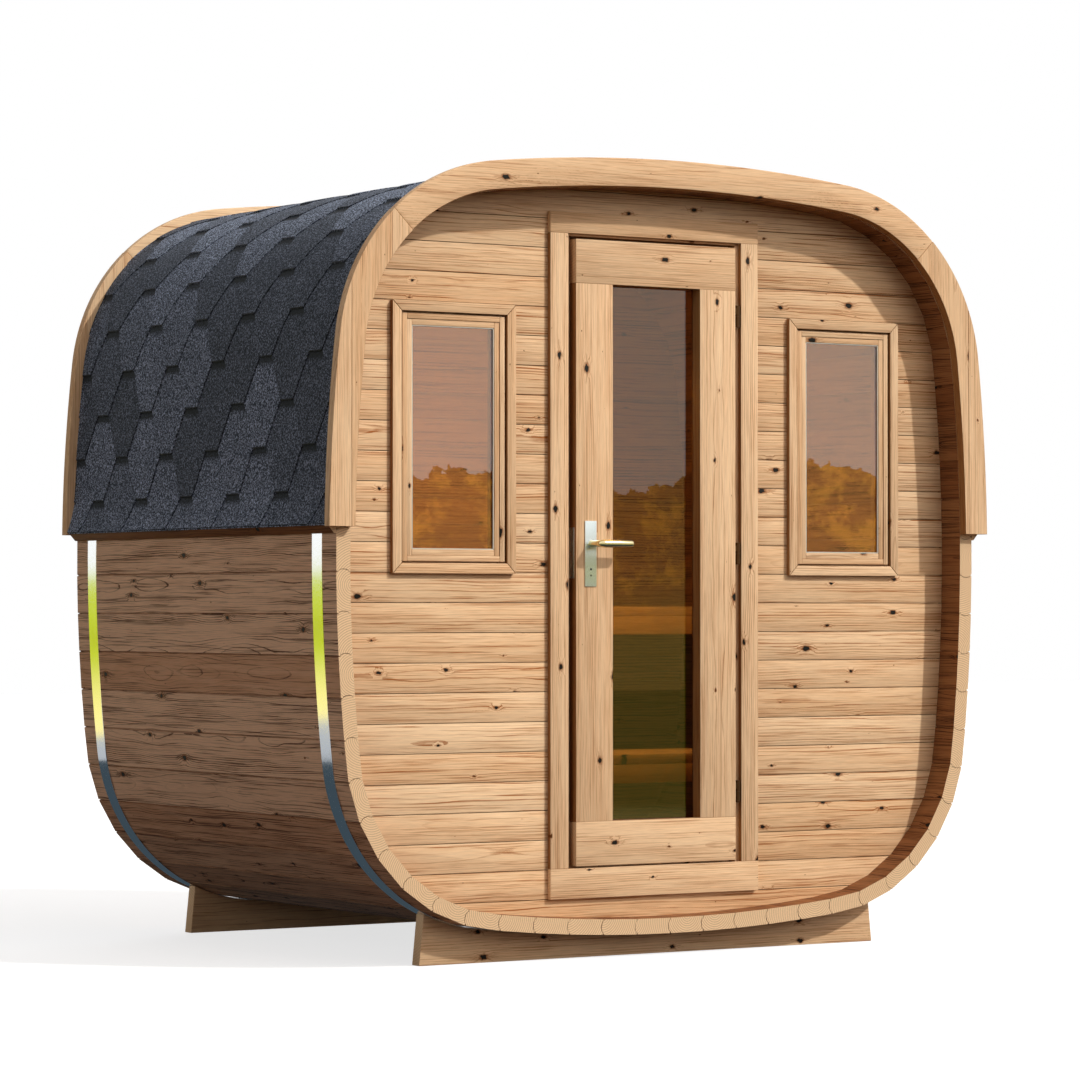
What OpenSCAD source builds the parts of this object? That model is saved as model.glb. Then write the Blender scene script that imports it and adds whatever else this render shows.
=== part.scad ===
// Cube sauna: a rounded-square shell of lengthwise staves, closed by a board wall
// at each end and carried on two cradles. Front towards -Y, ground at Z = 0,
// origin under the middle of the shell.

/* [Shell] */
// Width over the staves
shell_w = 2100; // [1900:10:2400]
// Height over the staves
shell_h = 2070; // [1900:10:2400]
// Length of the staves, front to back
shell_len = 1510; // [1200:10:2400]
// Thickness of the staves
stave_t = 42; // [36:1:58]
// Number of staves
stave_count = 66; // [58:4:78]
// Radius of the slightly bowed floor, sides and roof
bow_r = 5000; // [4000:100:9000]
// Radius of the four rounded corners
corner_r = 500; // [350:10:600]
// Height of the belly above the ground
belly_z = 60; // [40:5:120]

/* [End walls] */
// Distance from the stave ends back to the face of each end wall
recess = 84; // [60:2:140]
// Thickness of the end walls
wall_t = 42; // [28:1:60]

/* [Roof] */
// Height of the lowest edge of the shingles above the ground
eaves_z = 1166; // [1100:2:1300]
// Thickness of the shingle covering
shingle_t = 10; // [6:1:14]
// Thickness of the arched fascia boards
fascia_t = 27; // [18:1:34]
// Distance that the fascia boards stand out beyond the staves
fascia_out = 36; // [28:1:50]
// Height of the foot of the side fascia boards
fascia_foot_z = 1157; // [1150:1:1250]

/* [Windows] */
// Distance from the middle of the front to the near edge of a window opening
window_x = 482; // [470:2:520]
// Width of a window opening
window_w = 329; // [250:1:360]
// Height of the window sill above the ground
window_z = 1065; // [900:5:1200]
// Height of a window opening
window_h = 666; // [500:2:700]
// Width of the flat trim round a window
window_trim_w = 28; // [20:1:28]
// Width of the fixed sash round the glass
sash_w = 36; // [25:1:45]

/* [Door] */
// Width of the door leaf
leaf_w = 530; // [500:2:560]
// Height of the door leaf
leaf_h = 1700; // [1600:5:1740]
// Thickness of the door leaf
leaf_t = 44; // [36:1:46]
// Height of the foot of the leaf above the ground
leaf_z = 247; // [240:1:260]
// Width of the stiles and the rails of the leaf
stile_w = 120; // [80:2:130]
// Gap between the leaf and its frame
leaf_gap = 10; // [8:0.5:12]
// Width of the trim beside and over the door
door_trim_w = 58; // [45:1:65]
// Width of the trim below the door
door_trim_foot_w = 82; // [60:1:90]
// Thickness of the trim boards on the front wall
trim_t = 15; // [10:1:30]

/* [Bands and cradles] */
// Width of the two steel bands
band_w = 54; // [30:1:60]
// Thickness of the steel bands
band_t = 2; // [1.5:0.5:3]
// Thickness of the cradle boards
cradle_t = 38; // [30:1:50]
// Length of a cradle board at its foot
cradle_len = 1500; // [1300:10:1600]

/* [Benches] */
// Height of the upper bench above the ground
upper_bench_z = 950; // [850:5:1000]
// Depth of the upper bench
upper_bench_d = 600; // [450:10:620]
// Height of the lower bench above the ground
lower_bench_z = 530; // [450:5:560]
// Depth of the lower bench
lower_bench_d = 345; // [280:5:380]

/* [Hidden] */

// Fineness of round fittings, and points to a stave on the smooth fascia boards
round_fn = 96;
arch_fine = 4;
// Smallest overshoot of a cutting solid
cut = 1;
// Reach of a cutting solid past the whole shell
far = 3000;

// Outline of the shell: four bowed sides and four rounded corners, all tangent
half_w = shell_w / 2;
half_h = shell_h / 2;
mid_z = belly_z + half_h;
side_cx = half_w - bow_r;
floor_cz = half_h - bow_r;
// Corner centre: at bow_r - corner_r from both bow centres
span = norm([side_cx, floor_cz]);
reach = sqrt(pow(bow_r - corner_r, 2) - pow(span / 2, 2));
corner_cx = side_cx / 2 - reach * floor_cz / span;
corner_cz = floor_cz / 2 - reach * side_cx / span;
// Half the angle of a bowed side and of the bowed roof, seen from their bow centres
side_a = atan2(corner_cz, corner_cx - side_cx);
roof_a = atan2(corner_cx, corner_cz - floor_cz);

// Way round a quarter of the outline, from the middle of the roof to mid height
corner_a = 90 - roof_a - side_a;
roof_run = bow_r * roof_a * PI / 180;
corner_run = corner_r * corner_a * PI / 180;
quarter_run = roof_run + corner_run + bow_r * side_a * PI / 180;
stave_pitch = 4 * quarter_run / stave_count;
half_count = stave_count / 2;
// Last stave joint of the roof, and last stave joint of the upper corner
roof_split = floor(roof_run / stave_pitch);
corner_split = floor((roof_run + corner_run) / stave_pitch);

function heading(a) = [cos(a), sin(a)];
function turn(run, r) = run / r * 180 / PI;

// Point of the upper right quarter, at a way round from the middle of the roof
function quarter_point(way, out) =
    way < roof_run ? [0, floor_cz] + (bow_r + out) * heading(90 - turn(way, bow_r))
    : way < roof_run + corner_run ? [corner_cx, corner_cz]
        + (corner_r + out) * heading(90 - roof_a - turn(way - roof_run, corner_r))
    : [side_cx, 0] + (bow_r + out) * heading(turn(quarter_run - way, bow_r));

// Point at stave joint i, counted from the middle of the roof, to the right if above 0
function ring_point(i, out) =
    let(way = abs(i) * stave_pitch, lower = way > quarter_run,
        p = quarter_point(lower ? 2 * quarter_run - way : way, out))
    [i < 0 ? -p.x : p.x, mid_z + (lower ? -p.y : p.y)];

front_y = -shell_len / 2;
wall_y = front_y + recess;
trim_y = wall_y - trim_t;
room_y = wall_y + wall_t;
rear_room_y = -room_y;

// Door frame and leaf
frame_w = 42;
frame_d = 66;
jamb_x = leaf_w / 2 + leaf_gap;
trim_x = jamb_x + 12;
leaf_y = trim_y - 4;
leaf_top_z = leaf_z + leaf_h;
head_z = leaf_top_z + leaf_gap - 2;
sill_z = leaf_z - leaf_gap + 2;
trim_top_z = leaf_top_z + 14;
trim_foot_z = leaf_z - 5;
opening_x = jamb_x + frame_w;
opening_top_z = head_z + frame_w;
opening_foot_z = sill_z - frame_w;
stop_w = 15;
stop_t = 18;
stop_y = leaf_y + leaf_t + 5;
door_glass_t = 5;
door_glass_y = leaf_y + 36;

// Hinges: barrel halves on one upright axis beside the right stile
hinge_x = jamb_x + 1;
hinge_y = leaf_y + 6;
hinge_r = 6.5;
hinge_half = 30;
hinge_gap = 0.5;
pin_r = 3.5;
pin_len = 24;
running_gap = 0.05;
hinge_arm = 8;
hinge_z = [leaf_z + 190, leaf_z + leaf_h / 2, leaf_top_z - 190];

// Lock plates and lever
plate_x = -219;
plate_w = 37;
plate_z0 = 1004;
plate_h = 178;
plate_t = 3;
lever_z = 1120;
lever_r = 10;
lever_len = 116;
lever_out = 48;
neck_r = 9;
spindle_r = 4;
pin_gap = 0.4;
forend_w = 20;
forend_z0 = 1026;
forend_h = 138;
forend_t = 2;

// Windows
glass_t = 6;
sash_y = wall_y - 8;
sash_t = 42;
window_glass_y = sash_y + 8;

// Roof edge: bevelled fillet that tips the lowest shingles outwards
fillet_foot_z = eaves_z - 26;
fillet_top_z = eaves_z + 96;
fillet_lip = 7;
fillet_out = 25;
lap = 10;
// Lift of the corner mitres of the fascia above the corner centre
mitre_rise = 20;

// Bench boards
bench_t = 28;
bench_front_h = 82;
bench_front_t = 28;
ledger_t = 40;
ledger_h = 54;

// Solid plate seen from the front, from y0 towards the back
module upright(y0, depth) {
    translate([0, y0 + depth, 0]) rotate([90, 0, 0]) linear_extrude(depth) children();
}

// Box given by its low corner and its size
module slab(corner, size) {
    translate(corner) cube(size);
}

// Flat outline of the shell at an offset, with a corner at each joint between staves
module outline(out, fine = 1) {
    last = stave_count / 2 * fine;
    polygon([for (k = [1 - last:last]) ring_point(k / fine, out)]);
}

// Band between two offsets, from stave joint i0 round to stave joint i1
module ring(i0, i1, inner, outer, fine = 1) {
    polygon([each [for (k = [i0 * fine:i1 * fine]) ring_point(k / fine, outer)],
        each [for (k = [i1 * fine:-1:i0 * fine]) ring_point(k / fine, inner)]]);
}

module staves(i0, i1) {
    color("tan") upright(front_y, shell_len) ring(i0, i1, -stave_t, 0);
}

module stave_roof() {
    staves(-roof_split, roof_split);
}

module stave_floor() {
    color("tan") upright(front_y, shell_len) for (side = [0])
        polygon([each [for (k = [half_count - roof_split:half_count]) ring_point(k, 0)],
            each [for (k = [1 - half_count:roof_split - half_count]) ring_point(k, 0)],
            each [for (k = [roof_split - half_count:-1:1 - half_count]) ring_point(k, -stave_t)],
            each [for (k = [half_count:-1:half_count - roof_split]) ring_point(k, -stave_t)]]);
}

module stave_wall(flip) {
    mirror([flip, 0, 0]) staves(corner_split, half_count - corner_split);
}

module stave_corner_roof(flip) {
    mirror([flip, 0, 0]) staves(roof_split, corner_split);
}

module stave_corner_floor(flip) {
    mirror([flip, 0, 0]) staves(half_count - corner_split, half_count - roof_split);
}

// Board wall that fills the inside of the shell, from y0 back
module end_wall(y0) {
    color("burlywood") upright(y0, wall_t) outline(-stave_t);
}

module window_hole(flip) {
    mirror([flip, 0, 0])
        slab([window_x, wall_y - cut, window_z], [window_w, wall_t + 2 * cut, window_h]);
}

module front_wall_side(flip) {
    difference() {
        intersection() {
            end_wall(wall_y);
            mirror([flip, 0, 0]) slab([opening_x, wall_y - cut, 0], [far, wall_t + 2 * cut, far]);
        }
        window_hole(flip);
    }
}

module front_wall_middle(z0, height) {
    intersection() {
        end_wall(wall_y);
        slab([-opening_x, wall_y - cut, z0], [2 * opening_x, wall_t + 2 * cut, height]);
    }
}

module door_jamb(flip) {
    color("burlywood") mirror([flip, 0, 0])
        slab([jamb_x, wall_y, sill_z], [frame_w, frame_d, head_z - sill_z]);
}

module door_cross_piece(z0) {
    color("burlywood") slab([-opening_x, wall_y, z0], [2 * opening_x, frame_d, frame_w]);
}

// Strips that the closed leaf stops against
module door_stops() {
    color("burlywood") {
        for (flip = [0, 1]) mirror([flip, 0, 0])
            slab([jamb_x - stop_w, stop_y, sill_z], [stop_w, stop_t, head_z - sill_z]);
        for (z0 = [sill_z, head_z - stop_w])
            slab([-jamb_x + stop_w + cut, stop_y, z0],
                [2 * (jamb_x - stop_w - cut), stop_t, stop_w]);
    }
}

module door_trim_sides() {
    color("burlywood") for (flip = [0, 1]) mirror([flip, 0, 0])
        slab([trim_x, trim_y, trim_foot_z], [door_trim_w, trim_t, trim_top_z - trim_foot_z]);
}

module door_trim_cross(z0, height) {
    reach_x = trim_x + door_trim_w;
    color("burlywood") slab([-reach_x, trim_y, z0], [2 * reach_x, trim_t, height]);
}

module window_trims() {
    color("burlywood") for (flip = [0, 1]) mirror([flip, 0, 0]) difference() {
        slab([window_x - window_trim_w, trim_y, window_z - window_trim_w],
            [window_w + 2 * window_trim_w, trim_t, window_h + 2 * window_trim_w]);
        slab([window_x, trim_y - cut, window_z], [window_w, trim_t + 2 * cut, window_h]);
    }
}

module window_sashes() {
    color("burlywood") for (flip = [0, 1]) mirror([flip, 0, 0]) difference() {
        slab([window_x, sash_y, window_z], [window_w, sash_t, window_h]);
        slab([window_x + sash_w, sash_y - cut, window_z + sash_w],
            [window_w - 2 * sash_w, sash_t + 2 * cut, window_h - 2 * sash_w]);
    }
}

module window_glass() {
    color("saddlebrown") for (flip = [0, 1]) mirror([flip, 0, 0])
        slab([window_x + sash_w, window_glass_y, window_z + sash_w],
            [window_w - 2 * sash_w, glass_t, window_h - 2 * sash_w]);
}

// Flat arch from the inside of the staves to beyond the shingles
module fascia_arch() {
    intersection() {
        ring(1 - half_count, half_count - 1, -stave_t, fascia_out, arch_fine);
        translate([-far, fascia_foot_z]) square([2 * far, far]);
    }
}

// Everything above the two corner mitres
module mitre_region() {
    mitre_z = mid_z + corner_cz + mitre_rise;
    polygon([[-corner_cx, mitre_z], [corner_cx, mitre_z],
        [corner_cx + far, mitre_z + far], [-corner_cx - far, mitre_z + far]]);
}

module fascia_top(y0) {
    color("burlywood") upright(y0, fascia_t) intersection() {
        fascia_arch();
        mitre_region();
    }
}

module fascia_side(y0, flip) {
    color("burlywood") upright(y0, fascia_t) intersection() {
        difference() {
            fascia_arch();
            mitre_region();
        }
        mirror([flip, 0]) square([far, far]);
    }
}

// Shingle covering: over the arch, then tipped out over the fillets
module shingle_roof() {
    color("darkslategray") upright(front_y, shell_len) {
        intersection() {
            ring(1 - half_count, half_count - 1, 0, shingle_t);
            translate([-far, fillet_top_z]) square([2 * far, far]);
        }
        for (flip = [0, 1]) mirror([flip, 0]) difference() {
            polygon([[half_w - shingle_t, fillet_top_z + lap],
                [half_w + shingle_t - 4, fillet_top_z + lap],
                [half_w + shingle_t + 6, eaves_z + 48], [half_w + fillet_out + 7, eaves_z],
                [half_w + fillet_out, eaves_z - 6], [half_w - shingle_t, eaves_z - 6]]);
            fillet_outline();
            outline(0);
        }
    }
}

module fillet_outline() {
    polygon([[half_w - fillet_out, fillet_foot_z], [half_w + fillet_lip, fillet_foot_z],
        [half_w + fillet_out, eaves_z - 6], [half_w + fillet_out, eaves_z - 2],
        [half_w + shingle_t, eaves_z + 44], [half_w - 3, fillet_top_z],
        [half_w - fillet_out, fillet_top_z]]);
}

module eaves_fillets() {
    color("sienna") upright(front_y, shell_len)
        for (flip = [0, 1]) mirror([flip, 0]) difference() {
            fillet_outline();
            outline(0);
        }
}

// Half hoops under the belly, from eaves to eaves
module steel_bands() {
    band_y = shell_len / 2 - recess - band_w / 2 + 12;
    color("silver") for (y = [-band_y, band_y]) upright(y - band_w / 2, band_w) intersection() {
        difference() {
            outline(band_t);
            outline(0);
        }
        translate([-far, 0]) square([2 * far, fillet_foot_z]);
    }
}

// Board with raking ends and a hollow top that carries the belly
module cradle(y0) {
    rake = 14;
    top_z = 170;
    foot = cradle_len / 2;
    color("burlywood") upright(y0, cradle_t) difference() {
        polygon([[-foot, 0], [foot, 0], [foot - rake, top_z], [-foot + rake, top_z]]);
        outline(band_t);
    }
}

// Bench across the room: top boards, a deep front board and a rear bearer
module bench(y0, depth, top_z) {
    color("wheat") intersection() {
        union() {
            slab([-half_w, y0, top_z - bench_t], [shell_w, depth, bench_t]);
            slab([-half_w, y0, top_z - bench_front_h], [shell_w, bench_front_t, bench_front_h]);
            slab([-half_w, y0 + depth - ledger_t, top_z - bench_t - ledger_h],
                [shell_w, ledger_t, ledger_h]);
        }
        upright(front_y, shell_len) outline(-stave_t);
    }
}

module bench_upper() {
    bench(rear_room_y - upper_bench_d, upper_bench_d, upper_bench_z);
}

module bench_lower() {
    bench(rear_room_y - upper_bench_d - lower_bench_d, lower_bench_d, lower_bench_z);
}

// Fixed lower halves of the hinges, each with its pin and an arm from the right jamb
module hinge_pins() {
    color("silver") for (z = hinge_z) {
        translate([hinge_x, hinge_y, z - hinge_half - hinge_gap / 2])
            cylinder(r = hinge_r, h = hinge_half, $fn = round_fn);
        translate([hinge_x, hinge_y, z - hinge_half / 2])
            cylinder(r = pin_r, h = hinge_half / 2 + pin_len, $fn = round_fn);
        slab([hinge_x, hinge_y, z - hinge_half], [hinge_r - 2, wall_y - hinge_y, hinge_half / 2]);
    }
}

// Upper halves of the hinges, bored for the pins, each on an arm from the right stile
module hinge_caps() {
    color("silver") for (z = hinge_z) {
        translate([hinge_x, hinge_y, z + hinge_gap / 2]) difference() {
            cylinder(r = hinge_r, h = hinge_half, $fn = round_fn);
            translate([0, 0, -cut])
                cylinder(r = pin_r + running_gap, h = pin_len + 2 * cut, $fn = round_fn);
        }
        slab([leaf_w / 2, hinge_y - hinge_arm / 2, z + hinge_half / 4],
            [hinge_x - hinge_r + cut - leaf_w / 2, hinge_arm, hinge_half / 2]);
    }
}

module door_stile(flip) {
    color("burlywood") difference() {
        mirror([flip, 0, 0]) slab([leaf_w / 2 - stile_w, leaf_y, leaf_z + stile_w],
            [stile_w, leaf_t, leaf_h - 2 * stile_w]);
        spindle(spindle_r + running_gap, leaf_y + leaf_t / 2, leaf_t);
    }
}

// Round bar on the lever's axis, centred at y and longer than a given thickness
module spindle(r, y, thickness) {
    translate([plate_x, y, lever_z]) rotate([90, 0, 0])
        cylinder(r = r, h = thickness + 2 * cut, center = true, $fn = round_fn);
}

module door_rail(z0) {
    color("burlywood") slab([-leaf_w / 2, leaf_y, z0], [leaf_w, leaf_t, stile_w]);
}

module door_glass() {
    color("saddlebrown") slab([-leaf_w / 2 + stile_w, door_glass_y, leaf_z + stile_w],
        [leaf_w - 2 * stile_w, door_glass_t, leaf_h - 2 * stile_w]);
}

// Long lock plates on both faces, and the forend on the lock edge
module door_plates() {
    color("silver") {
        for (y = [leaf_y - plate_t, leaf_y + leaf_t]) difference() {
            slab([plate_x - plate_w / 2, y, plate_z0], [plate_w, plate_t, plate_h]);
            spindle(spindle_r + running_gap, y + plate_t / 2, plate_t);
        }
        slab([-leaf_w / 2 - forend_t, leaf_y + (leaf_t - forend_w) / 2, forend_z0],
            [forend_t, forend_w, forend_h]);
    }
}

// Round lever on its neck, with the end of its bar rounded off
module lever_arm() {
    translate([0, 0, pin_gap]) cylinder(r = neck_r, h = lever_out - pin_gap, $fn = round_fn);
    translate([-neck_r, 0, lever_out]) rotate([0, 90, 0])
        cylinder(r = lever_r, h = lever_len, $fn = round_fn);
    translate([lever_len - neck_r, 0, lever_out]) sphere(r = lever_r, $fn = round_fn);
}

// A lever on each face of the door, joined by the spindle through the stile
module door_levers() {
    mid_y = leaf_y + leaf_t / 2;
    through = leaf_t + 2 * plate_t + neck_r;
    color("silver") {
        for (side = [-1, 1]) translate([plate_x, mid_y + side * (leaf_t / 2 + plate_t), lever_z])
            mirror([0, side > 0 ? 0 : 1, 0]) rotate([-90, 0, 0]) lever_arm();
        spindle(spindle_r, mid_y, through);
    }
}

stave_floor();
stave_wall(1);  // stave_wall_left
stave_wall(0);  // stave_wall_right
stave_roof();
stave_corner_floor(1);  // stave_corner_floor_left
stave_corner_floor(0);  // stave_corner_floor_right
stave_corner_roof(1);  // stave_corner_roof_left
stave_corner_roof(0);  // stave_corner_roof_right
front_wall_side(1);  // front_wall_left
front_wall_side(0);  // front_wall_right
front_wall_middle(opening_top_z, far);  // front_wall_over_door
front_wall_middle(0, opening_foot_z);  // front_wall_under_door
end_wall(rear_room_y);  // rear_wall
door_jamb(1);  // door_jamb_left
door_jamb(0);  // door_jamb_right
door_cross_piece(head_z);  // door_head
door_cross_piece(opening_foot_z);  // door_sill
door_stops();
door_trim_sides();
door_trim_cross(trim_top_z, door_trim_w);  // door_trim_top
door_trim_cross(trim_foot_z - door_trim_foot_w, door_trim_foot_w);  // door_trim_foot
window_trims();
window_sashes();
window_glass();
fascia_top(front_y - fascia_t);  // fascia_front_top
fascia_side(front_y - fascia_t, 1);  // fascia_front_left
fascia_side(front_y - fascia_t, 0);  // fascia_front_right
fascia_top(-front_y);  // fascia_rear_top
fascia_side(-front_y, 1);  // fascia_rear_left
fascia_side(-front_y, 0);  // fascia_rear_right
shingle_roof();
eaves_fillets();
steel_bands();
cradle(wall_y - 2);  // cradle_front
cradle(-wall_y - cradle_t - 18);  // cradle_rear
bench_upper();
bench_lower();
hinge_pins();
door_stile(1);  // door_stile_left
door_stile(0);  // door_stile_right
door_rail(leaf_top_z - stile_w);  // door_rail_top
door_rail(leaf_z);  // door_rail_foot
door_glass();
door_plates();
hinge_caps();
door_levers();
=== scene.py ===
import math

import bmesh
import bpy
import mathutils
import numpy as np
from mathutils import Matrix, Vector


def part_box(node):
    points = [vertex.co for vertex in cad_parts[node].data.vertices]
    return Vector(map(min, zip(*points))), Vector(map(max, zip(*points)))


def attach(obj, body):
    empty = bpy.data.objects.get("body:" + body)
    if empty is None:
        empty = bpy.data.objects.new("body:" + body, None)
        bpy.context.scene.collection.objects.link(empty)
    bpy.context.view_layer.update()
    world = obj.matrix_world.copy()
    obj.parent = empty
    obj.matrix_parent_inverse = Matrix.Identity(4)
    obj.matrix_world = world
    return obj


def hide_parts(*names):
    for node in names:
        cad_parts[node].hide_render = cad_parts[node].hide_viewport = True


# Cube sauna: lengthwise spruce staves round a soft square, board end walls, glazed door,
# shingled arch roof. Metres, the same frame as the construction: front towards -Y.
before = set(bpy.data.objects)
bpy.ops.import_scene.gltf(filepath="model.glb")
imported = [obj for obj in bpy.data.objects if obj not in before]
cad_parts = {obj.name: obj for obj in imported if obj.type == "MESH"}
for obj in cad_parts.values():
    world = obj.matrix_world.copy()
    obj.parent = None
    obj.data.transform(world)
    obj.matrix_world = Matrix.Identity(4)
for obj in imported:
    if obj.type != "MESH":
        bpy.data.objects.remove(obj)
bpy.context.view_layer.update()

MM = 0.001

# ---- sizes from the frame


def low(node):
    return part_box(node)[0]


def high(node):
    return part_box(node)[1]


def depth(node):
    """Where a node starts and ends along Y."""
    return low(node)[1], high(node)[1]


# Section of the shell: four bowed sides and four rounded corners
BOW_R = 5000 * MM
CORNER_R = 500 * MM
STAVE_T = 42 * MM
STAVE_COUNT = 66
HALF_W = 1050 * MM
HALF_H = 1035 * MM
MID_Z = low("stave_floor")[2] + HALF_H
FRONT_Y, REAR_Y = depth("stave_roof")
SHELL_LEN = REAR_Y - FRONT_Y

SIDE_CX = HALF_W - BOW_R
ROOF_CZ = HALF_H - BOW_R
_span = math.hypot(SIDE_CX, ROOF_CZ)
_reach = math.sqrt((BOW_R - CORNER_R) ** 2 - (_span / 2) ** 2)
CORNER_CX = SIDE_CX / 2 - _reach * ROOF_CZ / _span
CORNER_CZ = ROOF_CZ / 2 - _reach * SIDE_CX / _span
SIDE_A = math.atan2(CORNER_CZ, CORNER_CX - SIDE_CX)
ROOF_A = math.atan2(CORNER_CX, CORNER_CZ - ROOF_CZ)
ROOF_RUN = BOW_R * ROOF_A
CORNER_RUN = CORNER_R * (math.pi / 2 - ROOF_A - SIDE_A)
QUARTER_RUN = ROOF_RUN + CORNER_RUN + BOW_R * SIDE_A
HALF_COUNT = STAVE_COUNT // 2
STAVE_PITCH = 2 * QUARTER_RUN / HALF_COUNT
ROOF_SPLIT = int(ROOF_RUN / STAVE_PITCH)
CORNER_SPLIT = int((ROOF_RUN + CORNER_RUN) / STAVE_PITCH)


def ring_point(i, out):
    """(x, z) at stave joint i, counted from the middle of the roof, out beyond the staves."""
    way = abs(i) * STAVE_PITCH
    lower = way > QUARTER_RUN
    if lower:
        way = 2 * QUARTER_RUN - way
    if way < ROOF_RUN:
        centre, r, a = (0, ROOF_CZ), BOW_R, math.pi / 2 - way / BOW_R
    elif way < ROOF_RUN + CORNER_RUN:
        centre, r = (CORNER_CX, CORNER_CZ), CORNER_R
        a = math.pi / 2 - ROOF_A - (way - ROOF_RUN) / CORNER_R
    else:
        centre, r, a = (SIDE_CX, 0), BOW_R, (QUARTER_RUN - way) / BOW_R
    x = centre[0] + (r + out) * math.cos(a)
    z = centre[1] + (r + out) * math.sin(a)
    return (-x if i < 0 else x, MID_Z + (-z if lower else z))


def ring_points(i0, i1, out, fine=1):
    """The outline from joint i0 to joint i1, with fine points to a stave."""
    count = max(1, round((i1 - i0) * fine))
    return [ring_point(i0 + (i1 - i0) * k / count, out) for k in range(count + 1)]


def joint_where(goes_past, i0, i1):
    """The joint number between i0 and i1 at which goes_past(i) turns true."""
    for _ in range(40):
        mid = (i0 + i1) / 2
        if goes_past(mid):
            i1 = mid
        else:
            i0 = mid
    return (i0 + i1) / 2


# ---- colours and nodes


def paint(code):
    """A linear RGBA from an sRGB hex code."""
    channels = [int(code[k:k + 2], 16) / 255 for k in (1, 3, 5)]
    return [c / 12.92 if c <= 0.04045 else ((c + 0.055) / 1.055) ** 2.4 for c in channels] + [1]


def put(tree, kind, *values, **settings):
    """Adds a node of a kind, such as "Math ADD", with its settings. Values fill the inputs in
    use, in order, and a dict fills them by name. A hex code is a colour, a socket is linked,
    and a node is linked by its first output in use."""
    kind, _, operation = kind.partition(" ")
    made = tree.nodes.new(kind if "Node" in kind else "ShaderNode" + kind)
    if operation:
        made.operation = operation
    for key, value in settings.items():
        setattr(made, key, value)
    filled = []
    for socket, value in zip([socket for socket in made.inputs if socket.enabled], values):
        named = isinstance(value, dict)
        filled += [(made.inputs[k], v) for k, v in value.items()] if named else [(socket, value)]
    for socket, value in filled:
        if isinstance(value, bpy.types.Node):
            value = next(output for output in value.outputs if output.enabled)
        if isinstance(value, bpy.types.NodeSocket):
            tree.links.new(value, socket)
        else:
            is_colour = isinstance(value, str) and value.startswith("#")
            socket.default_value = paint(value) if is_colour else value
    return made


def blank_material(name):
    """A material with an output and nothing else."""
    material = bpy.data.materials.new(name)
    material.use_nodes = True
    material.node_tree.nodes.clear()
    return material, material.node_tree


SMOOTH = {"interpolation_type": "SMOOTHSTEP"}
RGBA = {"data_type": "RGBA"}


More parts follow.
